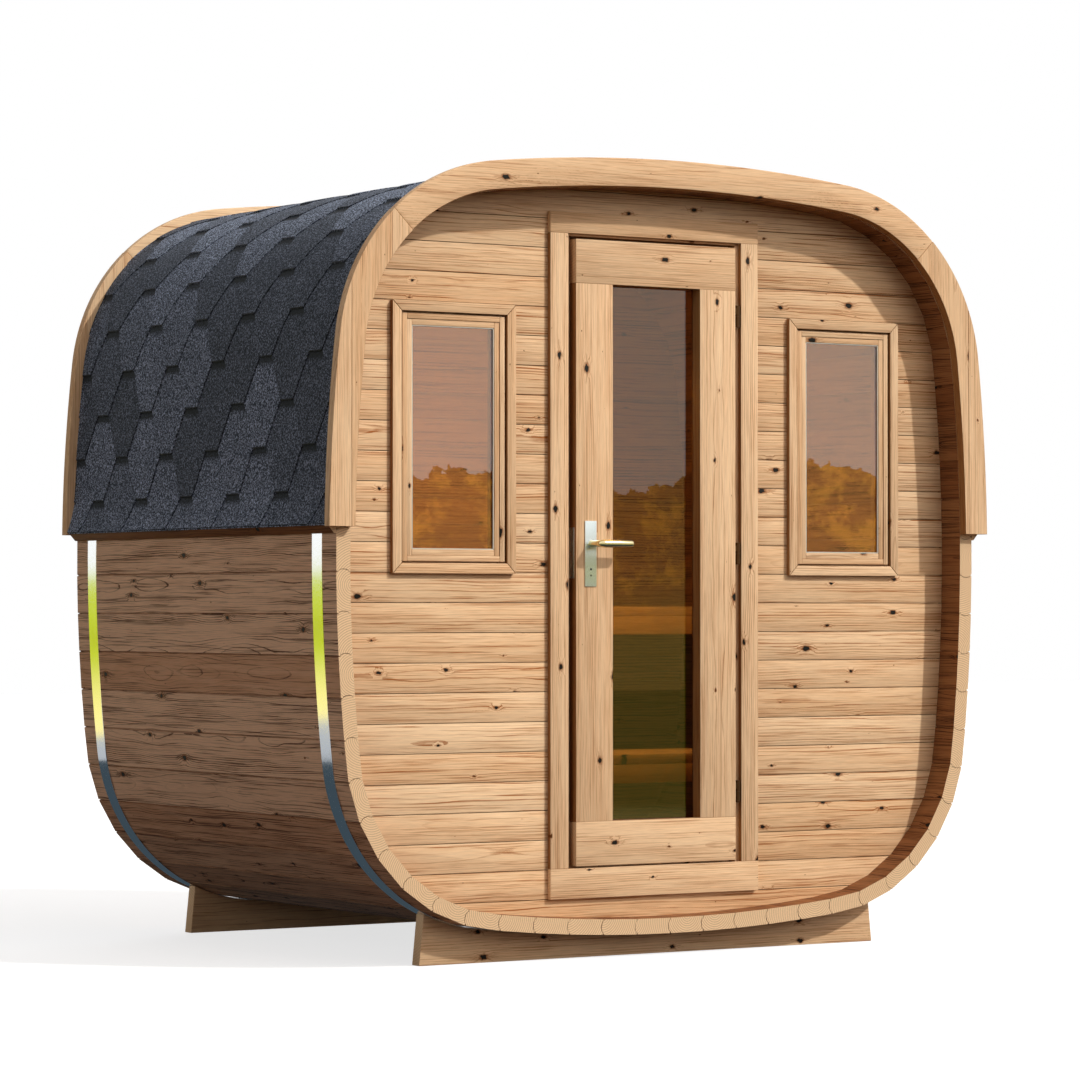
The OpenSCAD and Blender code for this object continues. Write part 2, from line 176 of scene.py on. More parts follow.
def spruce(name, pale, warm, vein, ring_mm=8.0, veins=1.0, figure=1.0, line_mm=3.2):
    """Sawn and planed spruce. Each board carries its own grain: (along, across, deep) from the
    heart of the tree, so its faces show lines and flames and its ends show growth rings. A
    board is cut through rings ring_mm apart, whose late wood is line_mm wide."""
    material, t = blank_material(name)
    grain = put(t, "Attribute", attribute_name="grain").outputs["Vector"]
    tone, end, dark = (put(t, "Attribute", attribute_name=key).outputs["Fac"]
                       for key in ("tone", "end", "dark"))
    side_on = put(t, "Math SUBTRACT", 1.0, end)

    # Knots: at most one to a stretch of 210 x 95 mm and none in most, 8 to 18 mm long, each
    # with a ragged edge, a brown rim and dark brushed tails along the board
    cell = (0.21, 0.095)
    flat = put(t, "VectorMath MULTIPLY", grain, (1 / cell[0], 1 / cell[1], 0))
    cells = put(t, "TexVoronoi", flat, 1.0, voronoi_dimensions="2D").outputs
    away = put(t, "VectorMath SUBTRACT", flat, cells["Position"])
    ragged = put(t, "VectorMath MULTIPLY", grain, (90.0, 190.0, 190.0))
    ragged = put(t, "Math SUBTRACT", put(t, "TexNoise", ragged, 1.0, 2.0), 0.5)
    lot = put(t, "SeparateColor", cells["Color"])
    knot_r = put(t, "MapRange", lot, 0.6, 1.0, 0.0002, 0.0072)
    nears = []
    for stretch in (0.62, 0.16):
        wide = put(t, "VectorMath MULTIPLY", away, (cell[0] * stretch, cell[1], 0))
        wide = put(t, "Math MULTIPLY_ADD", ragged, 0.009, put(t, "VectorMath LENGTH", wide))
        nears.append(put(t, "Math DIVIDE", wide, knot_r))
    core = put(t, "MapRange", nears[0], 1.08, 0.85, **SMOOTH)
    core = put(t, "Math MULTIPLY", core, side_on)
    rim = put(t, "MapRange", nears[0], 1.9, 0.95, 0.0, 0.75, **SMOOTH)
    round_knot = put(t, "MapRange", nears[0], 4.2, 0.9, **SMOOTH)
    tails = put(t, "MapRange", nears[1], 1.5, 0.4, 0.0, 0.17, **SMOOTH)

    # Growth rings about the heart, bent by long waves and pushed aside by knots. Where the
    # heart lies close under a face, the waves close its lines into flames
    parts = put(t, "SeparateXYZ", grain).outputs
    around = put(t, "CombineXYZ", 0.0, parts["Y"], parts["Z"])
    radius = put(t, "VectorMath LENGTH", around)
    waves = put(t, "VectorMath MULTIPLY", grain, (3.6, 8.0, 8.0))
    waves = put(t, "TexNoise", waves, 1.0, 1.0)
    push = put(t, "Math MULTIPLY_ADD", waves, 0.026 * figure, radius)
    push = put(t, "Math MULTIPLY_ADD", round_knot, 0.008, push)
    ripple = put(t, "VectorMath MULTIPLY", grain, (24.0, 150.0, 150.0))
    ripple = put(t, "TexNoise", ripple, 1.0, 2.0, 0.6)
    push = put(t, "Math MULTIPLY_ADD", ripple, 0.001, push)
    # An end shows the rings true: there they don't bend, and only the widest are drawn
    sparse = put(t, "Math MULTIPLY", radius, 0.78)
    push = put(t, "Mix", end, push, sparse)
    turns = put(t, "Math MULTIPLY", push, 1 / (ring_mm * MM))
    phase = put(t, "Math FRACT", turns)
    # Late wood darkens over 2 mm and stops short: a crisp line on one side only. A face
    # that cuts the rings at a slant would widen it, so the slant is taken out again
    slant = put(t, "Math DIVIDE", put(t, "Math ABSOLUTE", parts["Y"]), radius)
    slant = put(t, "Mix", end, put(t, "Math MAXIMUM", slant, 0.35), 1.0)
    short = put(t, "Math DIVIDE", put(t, "Math SUBTRACT", 1.0, phase), slant)
    rings = put(t, "MapRange", short, line_mm / ring_mm, 0.38 * line_mm / ring_mm, **SMOOTH)
    # Some years' rings are far darker than their neighbours
    year = put(t, "Math MULTIPLY_ADD", tone, 57.3, put(t, "Math FLOOR", turns))
    year = put(t, "TexWhiteNoise", year, noise_dimensions="1D")
    year = put(t, "MapRange", year, 0.35, 1.0, 0.22, 1.25)

    # The rings show strongly in some stretches of a board and hardly in others
    patch = put(t, "VectorMath MULTIPLY", grain, (3.4, 42.0, 42.0))
    patch = put(t, "TexNoise", patch, 1.0, 3.0, 0.65)
    strength = put(t, "Math MULTIPLY", put(t, "MapRange", patch, 0.4, 0.62, 0.3, 1.0), year)
    strength = put(t, "Mix", end, strength, 0.3)
    ring_veins = put(t, "Math MULTIPLY", rings, strength)

    # Brown lines 2 to 3 mm wide that taper out along the board: many faint, some dark. They
    # follow the waves and part round the knots
    aside = put(t, "Math MULTIPLY_ADD", waves, 0.016 * figure, parts["Y"])
    aside = put(t, "Math MULTIPLY_ADD", round_knot, 0.005, aside)
    lines = []
    for name, shape, coarse, low_end, high_end in (
            ("faint", (2.2, 380.0, 380.0), 0.6, 0.52, 0.62),
            ("dark", (2.6, 330.0, 330.0), 0.5, 0.735, 0.775)):
        way = put(t, "CombineXYZ", parts["X"], aside, parts["Z"])
        line = put(t, "VectorMath MULTIPLY", way, shape)
        line = put(t, "TexNoise", line, 1.0, 2.0, coarse)
        if name == "dark":
            line = put(t, "Math ADD", put(t, "Math MULTIPLY_ADD", patch, 0.32, line), tails)
        lines.append(put(t, "MapRange", line, low_end, high_end))
    faint = put(t, "Math MULTIPLY", lines[0], strength)
    streaks = put(t, "Math MULTIPLY_ADD", faint, 0.3, lines[1])
    streaks = put(t, "Math MULTIPLY", streaks, side_on)
    # Fibre about 1 mm wide
    fibre = put(t, "VectorMath MULTIPLY", grain, (18.0, 700.0, 700.0))
    fibre = put(t, "TexNoise", fibre, 1.0, 2.0, 0.6)

    # Colour: pale early wood, warm patches, veins, then knots in their rims
    warmth = put(t, "MapRange", put(t, "Math MULTIPLY_ADD", tone, 0.6, patch), 0.5, 1.1)
    colour = put(t, "Mix", warmth, pale, warm, **RGBA)
    colour = put(t, "Mix", end, colour, "#F0D2AC", **RGBA)
    vein_sum = put(t, "Math MULTIPLY_ADD", streaks, 0.6, ring_veins)
    vein_sum = put(t, "Math MULTIPLY", vein_sum, 0.85 * veins, use_clamp=True)
    colour = put(t, "Mix", vein_sum, colour, vein, **RGBA)
    fibre_light = put(t, "MapRange", fibre, 0.3, 0.7, 0.86, 1.1)
    colour = put(t, "VectorMath SCALE", colour, fibre_light)
    # Painted shade: where the dark attribute is set, the colour is darkened and browned
    painted_shade = put(t, "VectorMath MULTIPLY", colour, paint("#AC9070")[:3])
    colour = put(t, "Mix", dark, colour, painted_shade, **RGBA)
    rim_here = put(t, "Math MULTIPLY", rim, side_on)
    colour = put(t, "Mix", rim_here, colour, "#8A4F22", **RGBA)
    dark_lot = put(t, "Math GREATER_THAN", lot, 0.74)
    knot = put(t, "Mix", dark_lot, "#6A3D1C", "#15130F", **RGBA)
    colour = put(t, "Mix", core, colour, knot, **RGBA)

    relief = put(t, "Math MULTIPLY_ADD", vein_sum, 0.6, fibre)
    bump = put(t, "Bump", {"Height": relief, "Strength": 0.4, "Distance": 0.6 * MM})
    rough = put(t, "MapRange", fibre, 0.3, 0.7, 0.56, 0.70)
    wood = put(t, "BsdfPrincipled", {"Base Color": colour, "Roughness": rough, "Normal": bump,
                                     "Specular IOR Level": 0.2})
    put(t, "OutputMaterial", wood)
    return material


# Planed spruce in sun and air: cream with brown streaks and small blue-black knots
wall_spruce = spruce("planed_spruce_wall_boards", "#F6D9B4", "#EAC49A", "#A05A1C", figure=0.6,
                     ring_mm=6.4)
trim_spruce = spruce("planed_spruce_joinery", "#F3D5B0", "#E6C097", "#9A5C2A", figure=0.5,
                     ring_mm=6.0, veins=0.6)
stave_spruce = spruce("planed_spruce_staves", "#F0CAAD", "#D3A484", "#4A240E", veins=1.25,
                      figure=1.1, ring_mm=4.8, line_mm=2.5)
# The rear boards show strong dark veins through the glass
rear_spruce = spruce("planed_spruce_rear_wall", "#F2D0A8", "#E2B78A", "#6A3412", figure=0.6,
                     ring_mm=8.5, line_mm=4.0, veins=1.15)
# Softwood under the eaves, coloured a darker brown than the other spruce
eaves_spruce = spruce("stained_spruce_eaves", "#9A6A45", "#7C5133", "#4A2C18")
# Inside, where heat has turned the wood browner
bench_aspen = spruce("planed_aspen_benches", "#F2C684", "#E6B36C", "#B07A3A", ring_mm=9,
                     veins=0.5)


def bronze_glass(name, tint, ior):
    """Float glass tinted bronze right through, polished: a clear but dim view, sharp gloss."""
    material, t = blank_material(name)
    place = put(t, "TexCoord").outputs["Object"]
    # Float glass bends a reflection by a hair over a hand's width
    roll = put(t, "TexNoise", place, 3.0, 1.0)
    bump = put(t, "Bump", {"Height": roll, "Strength": 0.05, "Distance": 0.4 * MM})
    glass = put(t, "BsdfPrincipled", {"Base Color": tint, "Roughness": 0.0, "IOR": ior,
                                      "Normal": bump, "Transmission Weight": 1.0})
    put(t, "OutputMaterial", glass)
    return material


def steel(name, colour, roughness, grit, strength, stretch=(1.0, 1.0, 1.0)):
    """Polished or brushed metal, with the fine scratches of its polish."""
    material, t = blank_material(name)
    place = put(t, "TexCoord").outputs["Object"]
    place = put(t, "VectorMath MULTIPLY", place, stretch)
    scratch = put(t, "TexNoise", place, 1 / (grit * MM), 3.0)
    rough = put(t, "MapRange", scratch, 0.3, 0.7, roughness * 0.75, roughness * 1.3)
    bump = put(t, "Bump", {"Height": scratch, "Strength": strength, "Distance": 0.1 * MM})
    metal = put(t, "BsdfPrincipled", {"Base Color": colour, "Metallic": 1.0,
                                      "Roughness": rough, "Normal": bump})
    put(t, "OutputMaterial", metal)
    return material


def felt_shingle(name):
    """Bitumen shingle dressed with slate grit: charcoal blue, speckled, matt."""
    material, t = blank_material(name)
    place = put(t, "TexCoord").outputs["Object"]
    tone = put(t, "Attribute", attribute_name="tone").outputs["Fac"]
    tone = put(t, "MapRange", tone, 0.25, 0.85, **SMOOTH)
    rise = put(t, "Attribute", attribute_name="rise").outputs["Fac"]
    # Real grit is about 1 mm: drawn at 3 mm so that it shows
    grit = put(t, "TexNoise", place, 1 / (4.8 * MM), 1.0, 0.8)
    specks = put(t, "Math POWER", put(t, "MapRange", grit, 0.42, 0.68), 1.5)
    cloud = put(t, "TexNoise", place, 9.0, 3.0)
    lightness = put(t, "Math MULTIPLY_ADD", cloud, 0.5, tone)
    lightness = put(t, "MapRange", lightness, 0.2, 1.3, 0.76, 1.75)
    colour = put(t, "Mix", specks, "#1F2733", "#96A4BF", **RGBA)
    colour = put(t, "VectorMath SCALE", colour, lightness)
    # Dark grit under the foot of each tab above, darkened further as that foot's painted shadow
    band = put(t, "MapRange", rise, 0.885, 0.945, 0.0, 0.9)
    colour = put(t, "Mix", band, colour, "#0F1217", **RGBA)
    # The cut foot of a tab shows bare black bitumen, made near black as painted shade too
    foot = put(t, "MapRange", rise, 0.016, 0.008)
    colour = put(t, "Mix", foot, colour, "#08080A", **RGBA)
    bump = put(t, "Bump", {"Height": grit, "Strength": 0.5, "Distance": 0.8 * MM})
    felt = put(t, "BsdfPrincipled", {"Base Color": colour, "Roughness": 0.9, "Normal": bump,
                                     "Specular IOR Level": 0.3})
    put(t, "OutputMaterial", felt)
    return material


def rubber_seal(name):
    """Pale glazing rubber, extruded."""
    material, t = blank_material(name)
    place = put(t, "TexCoord").outputs["Object"]
    dust = put(t, "TexNoise", place, 60.0)
    colour = put(t, "Mix", dust, "#C9C9C0", "#E2E2DA", **RGBA)
    seal = put(t, "BsdfPrincipled", {"Base Color": colour, "Roughness": 0.7})
    put(t, "OutputMaterial", seal)
    return material


window_tint = bronze_glass("bronze_float_glass", "#D09F61", 2.15)
door_tint = bronze_glass("bronze_safety_glass", "#AE8850", 1.7)
band_steel = steel("bright_stainless_strip", "#FAFCFE", 0.10, 6.0, 0.08)
satin_steel = steel("satin_stainless_plate", "#DDE6E6", 0.30, 1.2, 0.25, stretch=(1, 1, 12))
polished_brass = steel("polished_brass_lever", "#EAD9A6", 0.16, 2.0, 0.10)
hinge_bronze = steel("bronzed_steel_hinge", "#5A402A", 0.42, 2.0, 0.15)
# The screw heads are painted dark as the shade in their recesses
dark_screw = steel("dark_screw_recess", "#3A3A3C", 0.5, 1.0, 0.2)
roof_felt = felt_shingle("slate_grit_shingle")
seal_rubber = rubber_seal("glazing_rubber")

# ---- boards


def board(outline, y0, y1, run="X", up=(0, -1, 0)):
    """One board: a flat outline of (x, z) points, taken from y0 back to y1. run is the way of
    its grain, X, Y or Z, and up is the way its wide face looks."""
    return {"outline": outline, "y0": y0, "y1": y1, "run": run, "up": up}


def block(x0, x1, z0, z1, y0, y1, run="X", up=(0, -1, 0)):
    """A squared board."""
    return board([(x0, z0), (x1, z0), (x1, z1), (x0, z1)], y0, y1, run, up)


def mirrored(points, side=-1):
    return [(side * x, z) for x, z in points]


def clipped(outline, side, place, keep):
    """The part of a flat outline on one side of a line: side 0 for x and 1 for z, keep 1 for
    what lies above place and -1 for what lies below."""
    kept = []
    for a, b in zip(outline, outline[1:] + outline[:1]):
        in_a = (a[side] - place) * keep >= 0
        in_b = (b[side] - place) * keep >= 0
        if in_a:
            kept.append(a)
        if in_a != in_b:
            share = (place - a[side]) / (b[side] - a[side])
            kept.append(tuple(p + (q - p) * share for p, q in zip(a, b)))
    return kept


def signed_area(outline):
    pairs = zip(outline, outline[1:] + outline[:1])
    return sum(a[0] * b[1] - b[0] * a[1] for a, b in pairs) / 2


def new_tree(name, **inputs):
    """An empty geometry nodes tree, and the sockets that give its named inputs."""
    tree = bpy.data.node_groups.new(name, "GeometryNodeTree")
    for label, kind in inputs.items():
        tree.interface.new_socket(label.replace("_", " "), in_out="INPUT",
                                  socket_type="NodeSocket" + kind)
    tree.interface.new_socket("Geometry", in_out="OUTPUT", socket_type="NodeSocketGeometry")
    return tree, put(tree, "NodeGroupInput").outputs


def set_inputs(modifier, **values):
    """Sets a geometry nodes modifier's inputs by their names."""
    for item in modifier.node_group.interface.items_tree:
        key = item.name.replace(" ", "_")
        if item.in_out == "INPUT" and key in values:
            modifier[item.identifier] = values[key]


def sawn_tree():
    """Geometry nodes: each flat board outline becomes a closed board of its own thickness,
    moved a little along Y, with its own lot of tone."""
    t, given = new_tree("saw_boards", Geometry="Geometry", Unevenness="Float", Seed="Int",
                        Material="Material")
    thick = put(t, "GeometryNodeInputNamedAttribute", "thick", data_type="FLOAT")
    number = put(t, "GeometryNodeInputNamedAttribute", "board", data_type="INT")
    drawn = put(t, "GeometryNodeExtrudeMesh", given["Geometry"], {
        "Offset": (0, 1, 0), "Offset Scale": thick, "Individual": True}, mode="FACES")
    front = put(t, "GeometryNodeFlipFaces", given["Geometry"])
    both = put(t, "GeometryNodeJoinGeometry", drawn)
    t.links.new(front.outputs[0], both.inputs[0])
    closed = put(t, "GeometryNodeMergeByDistance", both, {"Distance": 0.01 * MM})
    shift = put(t, "FunctionNodeRandomValue", {
        "Max": given["Unevenness"], "ID": number, "Seed": given["Seed"]}, data_type="FLOAT")
    along = put(t, "CombineXYZ", {"Y": shift})
    moved = put(t, "GeometryNodeSetPosition", closed, {"Offset": along})
    tone_seed = put(t, "FunctionNodeIntegerMath ADD", given["Seed"], 1)
    tone = put(t, "FunctionNodeRandomValue", {"ID": number, "Seed": tone_seed},
               data_type="FLOAT")
    toned = put(t, "GeometryNodeStoreNamedAttribute", moved, {"Name": "tone", "Value": tone},
                data_type="FLOAT", domain="POINT")
    solid = put(t, "GeometryNodeRealizeInstances", toned)
    faced = put(t, "GeometryNodeSetMaterial", solid, {"Material": given["Material"]})
    put(t, "NodeGroupOutput", faced)
    return t


SAW = sawn_tree()

# ---- meshes


def new_mesh(name, verts, faces, edges=()):
    mesh = bpy.data.meshes.new(name)
    mesh.from_pydata(verts, edges, faces)
    return mesh


def new_object(name, data):
    """Adds an object, of a mesh, a lamp or a camera, to the scene."""
    made = bpy.data.objects.new(name, data)
    bpy.context.scene.collection.objects.link(made)
    return made


def store(mesh, name, values, domain="POINT", kind="FLOAT"):
    made = mesh.attributes.new(name, kind, domain)
    made.data.foreach_set("vector" if kind == "FLOAT_VECTOR" else "value", values)


def read(items, key, wide=1, kind=float):
    """An array of a value for each item, or of a row of wide values for each."""
    values = np.zeros(len(items) * wide, kind)
    items.foreach_get(key, values)
    return values.reshape(-1, wide) if wide > 1 else values


def baked(source, name):
    """A plain mesh object of what the source's modifiers make. The source goes."""
    bpy.context.view_layer.update()
    graph = bpy.context.evaluated_depsgraph_get()
    mesh = bpy.data.meshes.new_from_object(source.evaluated_get(graph),
                                           preserve_all_data_layers=True, depsgraph=graph)
    old = source.data
    bpy.data.objects.remove(source)
    bpy.data.meshes.remove(old)
    mesh.name = name
    return new_object(name, mesh)


def smooth_by_angle(mesh, degrees):
    mesh.polygons.foreach_set("use_smooth", [True] * len(mesh.polygons))
    mesh.set_sharp_from_angle(angle=math.radians(degrees))


def closed_piece(name, verts, faces, material, degrees=None):
    """An object of a closed mesh, its faces turned outwards."""
    mesh = new_mesh(name, verts, faces)
    work = bmesh.new()
    work.from_mesh(mesh)
    bmesh.ops.recalc_face_normals(work, faces=work.faces)
    work.to_mesh(mesh)
    work.free()
    if degrees:
        smooth_by_angle(mesh, degrees)
    mesh.materials.append(material)
    return new_object(name, mesh)


def carried(piece, body, slot, *nodes):
    """Puts a piece on its body and in the place of its nodes, which it hides. slot is not used."""
    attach(piece, body)
    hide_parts(*nodes)
    return piece


def joinery(name, boards, material, nodes, body="shell", slot="joinery_wood", edge=1.5, steps=2,
            unevenness=0.0, seed=1, dark=("edges",)):
    """Makes one piece of several boards with edges eased by edge mm, and gives each board its
    grain. dark names where shade is painted in as a darker, browner colour: on the side
    faces, which also darkens the joints, on the backs, or on the hollow, which faces the
    shell's middle."""
    verts, faces, thick = [], [], []
    for item in boards:
        outline = item["outline"]
        if signed_area(outline) > 0:
            outline = outline[::-1]
        faces.append(list(range(len(verts), len(verts) + len(outline))))
        verts += [(x, item["y0"], z) for x, z in outline]
        thick.append(item["y1"] - item["y0"])
    mesh = new_mesh(name + "_outlines", verts, faces)
    store(mesh, "thick", thick, "FACE")
    store(mesh, "board", range(len(boards)), "FACE", "INT")
    source = new_object(name + "_outlines", mesh)
    saw = source.modifiers.new("saw", "NODES")
    saw.node_group = SAW
    set_inputs(saw, Unevenness=unevenness * MM, Seed=seed, Material=material)
    if edge:
        ease = source.modifiers.new("ease", "BEVEL")
        ease.width = edge * MM
        ease.segments = steps
        ease.limit_method = "ANGLE"
        ease.angle_limit = math.radians(40)
    piece = baked(source, name)
    add_grain(piece.data, boards, seed, dark)
    smooth_by_angle(piece.data, 24)
    return carried(piece, body, slot, *nodes)


AXES = {"X": (1, 0, 0), "Y": (0, 1, 0), "Z": (0, 0, 1)}
# Share of the boards cut near the heart, which show flames, and where in the tree, in metres,
# the middle of such a board and of a straight-grained one may lie
NEAR_SHARE = 0.35
NEAR_OFF, NEAR_DEEP = (-0.02, 0.02), (0.024, 0.034)
FAR_OFF, FAR_DEEP = (0.05, 0.10), (0.01, 0.05)


def add_grain(mesh, boards, seed, dark):
    """Stores on each point its place in its own board, seen from the tree's heart."""
    rng = np.random.default_rng(seed)
    places = read(mesh.vertices, "co", 3)
    normals = read(mesh.polygons, "normal", 3)
    of_face = read(mesh.attributes["board"].data, "value", kind=np.int32)
    sizes = read(mesh.polygons, "loop_total", kind=np.int32)
    of_vertex = np.zeros(len(places), np.int32)
    of_vertex[read(mesh.loops, "vertex_index", kind=np.int32)] = np.repeat(of_face, sizes)
    grain = np.zeros((len(places), 3))
    ends = np.zeros(len(normals))
    painted_shade = np.zeros(len(normals))
    to_middle = np.array([0, 0, MID_Z]) - read(mesh.polygons, "center", 3)
    to_middle[:, 1] = 0
    to_middle /= np.maximum(np.linalg.norm(to_middle, axis=1), 1e-6)[:, None]
    for number, item in enumerate(boards):
        run, up = np.array(AXES[item["run"]], float), np.array(item["up"], float)
        mine = of_vertex == number
        centre = (places[mine].min(axis=0) + places[mine].max(axis=0)) / 2 if mine.any() else 0
        near = rng.random() < NEAR_SHARE
        off = rng.uniform(*NEAR_OFF) if near else rng.choice((-1, 1)) * rng.uniform(*FAR_OFF)
        deep = rng.uniform(*(NEAR_DEEP if near else FAR_DEEP))
        heart = np.array((rng.uniform(-40, 40), off, deep))
        local = (places[mine] - centre) @ np.stack([run, np.cross(up, run), up], axis=1)
        grain[mine] = local + heart
        of_mine = of_face == number
        ends[of_mine] = np.abs(normals[of_mine] @ run) > 0.8
        facing = normals[of_mine] @ up
        # Painted shade: side faces, backs and faces towards the shell's middle get a darker colour
        if "edges" in dark:
            painted_shade[of_mine] = np.clip((0.62 - np.abs(facing)) / 0.4, 0, 1)
        if "backs" in dark:
            painted_shade[of_mine] = np.maximum(painted_shade[of_mine], facing < -0.7)
        if "hollow" in dark:
            hollow = (normals[of_mine] * to_middle[of_mine]).sum(axis=1) > 0.6
            painted_shade[of_mine] = np.maximum(painted_shade[of_mine], hollow)
    store(mesh, "dark", painted_shade * (1 - ends), "FACE")
    store(mesh, "grain", grain.ravel(), kind="FLOAT_VECTOR")
    store(mesh, "end", ends, "FACE")


# ---- stave shell

JOINT_GAP = 1.6 * MM
# Each edge is eased where it meets the next stave, so the joints show as fine grooves
NOTCH_W, NOTCH_D = 2.6 * MM, 3.4 * MM
INNER_EASE = 1.2 * MM
BEAD = 7 * MM
BEAD_FROM, BEAD_TO = 5 * MM, 37 * MM
BEAD_MID, BEAD_R = (BEAD_FROM + BEAD_TO) / 2, (BEAD_TO - BEAD_FROM) / 2


def inward_at(i):
    """The outer point at stave joint i, and the ways inward and along the outline there."""
    outer = np.array(ring_point(i, 0))
    inward = (np.array(ring_point(i, -STAVE_T)) - outer) / STAVE_T
    return outer, inward, np.array([-inward[1], inward[0]])


def joint_line(i, side):
    """The bead-and-cove joint at stave joint i, outside to inside, moved half the gap."""
    outer, inward, tangent = inward_at(i)
    line = [outer + tangent * side * NOTCH_W]
    bead = [BEAD_MID - BEAD_R * math.cos(math.pi * k / 12) for k in range(13)]
    for inset in [NOTCH_D] + bead + [STAVE_T - INNER_EASE]:
        share = (inset - BEAD_FROM) / (BEAD_TO - BEAD_FROM)
        bulge = BEAD * math.sqrt(1 - (2 * share - 1) ** 2) if 0 < share < 1 else 0
        line.append(outer + inward * inset + tangent * (bulge + side * JOINT_GAP / 2))
    line.append(np.array(ring_point(i, -STAVE_T)) + tangent * side * INNER_EASE)
    return [tuple(p) for p in line]


def stave(i):
    """The stave between joints i and i + 1."""
    outer, _, tangent = inward_at(i)
    # The tangent runs back towards the roof's middle on one side of the shell
    side = 1 if tangent @ (np.array(ring_point(i + 1, 0)) - outer) > 0 else -1
    out = np.array(ring_point(i + 0.5, MM)) - np.array(ring_point(i + 0.5, 0))
    out = out / np.linalg.norm(out)
    return board(joint_line(i, side) + joint_line(i + 1, -side)[::-1], FRONT_Y, REAR_Y, "Y",
                 (out[0], 0, out[1]))


LOW_SPLIT = HALF_COUNT - CORNER_SPLIT
FLOOR_SPLIT = HALF_COUNT - ROOF_SPLIT
stave_groups = (
    ("roof", [(-ROOF_SPLIT, ROOF_SPLIT)]),
    ("corner_roof_right", [(ROOF_SPLIT, CORNER_SPLIT)]),
    ("wall_right", [(CORNER_SPLIT, LOW_SPLIT)]),
    ("corner_floor_right", [(LOW_SPLIT, FLOOR_SPLIT)]),
    ("floor", [(FLOOR_SPLIT, HALF_COUNT), (-HALF_COUNT, -FLOOR_SPLIT)]),
    ("corner_floor_left", [(-FLOOR_SPLIT, -LOW_SPLIT)]),
    ("wall_left", [(-LOW_SPLIT, -CORNER_SPLIT)]),
    ("corner_roof_left", [(-CORNER_SPLIT, -ROOF_SPLIT)]))
for number, (place, ranges) in enumerate(stave_groups):
    joinery("staves_" + place, [stave(i) for i0, i1 in ranges for i in range(i0, i1)],
            stave_spruce, ["stave_" + place], slot="stave_wood", edge=0, unevenness=0.8,
            seed=20 + number, dark=("edges", "hollow"))

# ---- end walls

BOARD_PITCH = 80 * MM
BOARD_GAP = 2.0 * MM
# Boards run a little way into a groove in the staves
GROOVE = 6 * MM
WALL_OUTLINE = ring_points(-HALF_COUNT, HALF_COUNT, GROOVE - STAVE_T)[1:]
# A tongue fills the joint over each board: how far it reaches down, up and in from the faces
TONGUE_DOWN, TONGUE_UP, TONGUE_IN = 5 * MM, 7 * MM, 14 * MM
# Slivers of board under this many square metres are left out
LEAST_BOARD = 0.002


def with_notches(outline, z0, z1, holes):
    """A board's outline, cut square where a hole reaches in from its top or foot edge."""
    cut = []
    for a, b in zip(outline, outline[1:] + outline[:1]):
        cut.append(a)
        level = abs(a[1] - b[1]) < 1e-9
        for edge_z in (z0, z1):
            if not (level and abs(a[1] - edge_z) < 1e-9):
                continue
            inside = [h for h in holes if h[2] <= edge_z <= h[3]]
            inside.sort(key=lambda h: h[0], reverse=b[0] < a[0])
            for x0, x1, hole_z0, hole_z1 in inside:
                deep = hole_z1 if edge_z == z0 else hole_z0
                ways = (x0, x1) if b[0] > a[0] else (x1, x0)
                cut += [(ways[0], edge_z), (ways[0], deep), (ways[1], deep), (ways[1], edge_z)]
    return cut


def split_by(outline, holes):
    """What is left of an outline between and beside holes that run right through it."""
    left = []
    for x0, x1, _, _ in holes:
        left.append(clipped(outline, 0, x0, -1))
        outline = clipped(outline, 0, x1, 1)
    return left + [outline]


def between(z0, z1):
    return clipped(clipped(WALL_OUTLINE, 1, z0, 1), 1, z1, -1)


def wall_boards(node, holes=(), up=(0, -1, 0)):
    """Level boards across the shell, cut round the holes, each (x0, x1, z0, z1)."""
    y0, y1 = depth(node)
    boards, tongues = [], []
    row = int(min(z for _, z in WALL_OUTLINE) / BOARD_PITCH)
    top = max(z for _, z in WALL_OUTLINE)
    while row * BOARD_PITCH < top:
        z0 = row * BOARD_PITCH + BOARD_GAP / 2
        z1 = (row + 1) * BOARD_PITCH - BOARD_GAP / 2
        row += 1
        strip = between(z0, z1)
        if len(strip) < 3 or abs(signed_area(strip)) < LEAST_BOARD:
            continue
        through = sorted(h for h in holes if h[2] <= z0 and h[3] >= z1)
        partly = [h for h in holes if h not in through and h[2] < z1 and h[3] > z0]
        for outline in split_by(strip, through):
            xs = [x for x, _ in outline]
            mine = [h for h in partly if h[0] > min(xs) and h[1] < max(xs)]
            boards.append(board(with_notches(outline, z0, z1, mine), y0, y1, "X", up))
        if z1 + 60 * MM < top:
            met = sorted(h for h in holes if h[2] < z1 + TONGUE_UP and h[3] > z1)
            tongues += split_by(between(z1 - TONGUE_DOWN, z1 + TONGUE_UP), met)
    return [board(tongue, y0 + TONGUE_IN, y1 - TONGUE_IN, "X", up) for tongue in tongues] + boards


def opening(node):
    """(x0, x1, z0, z1) of a node."""
    (x0, _, z0), (x1, _, z1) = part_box(node)
    return x0, x1, z0, z1


sash_x0, WINDOW_X1, SASH_Z0, SASH_Z1 = opening("window_sashes")
SASH_W = low("window_glass")[0] - sash_x0
WINDOW_X0 = 482 * MM
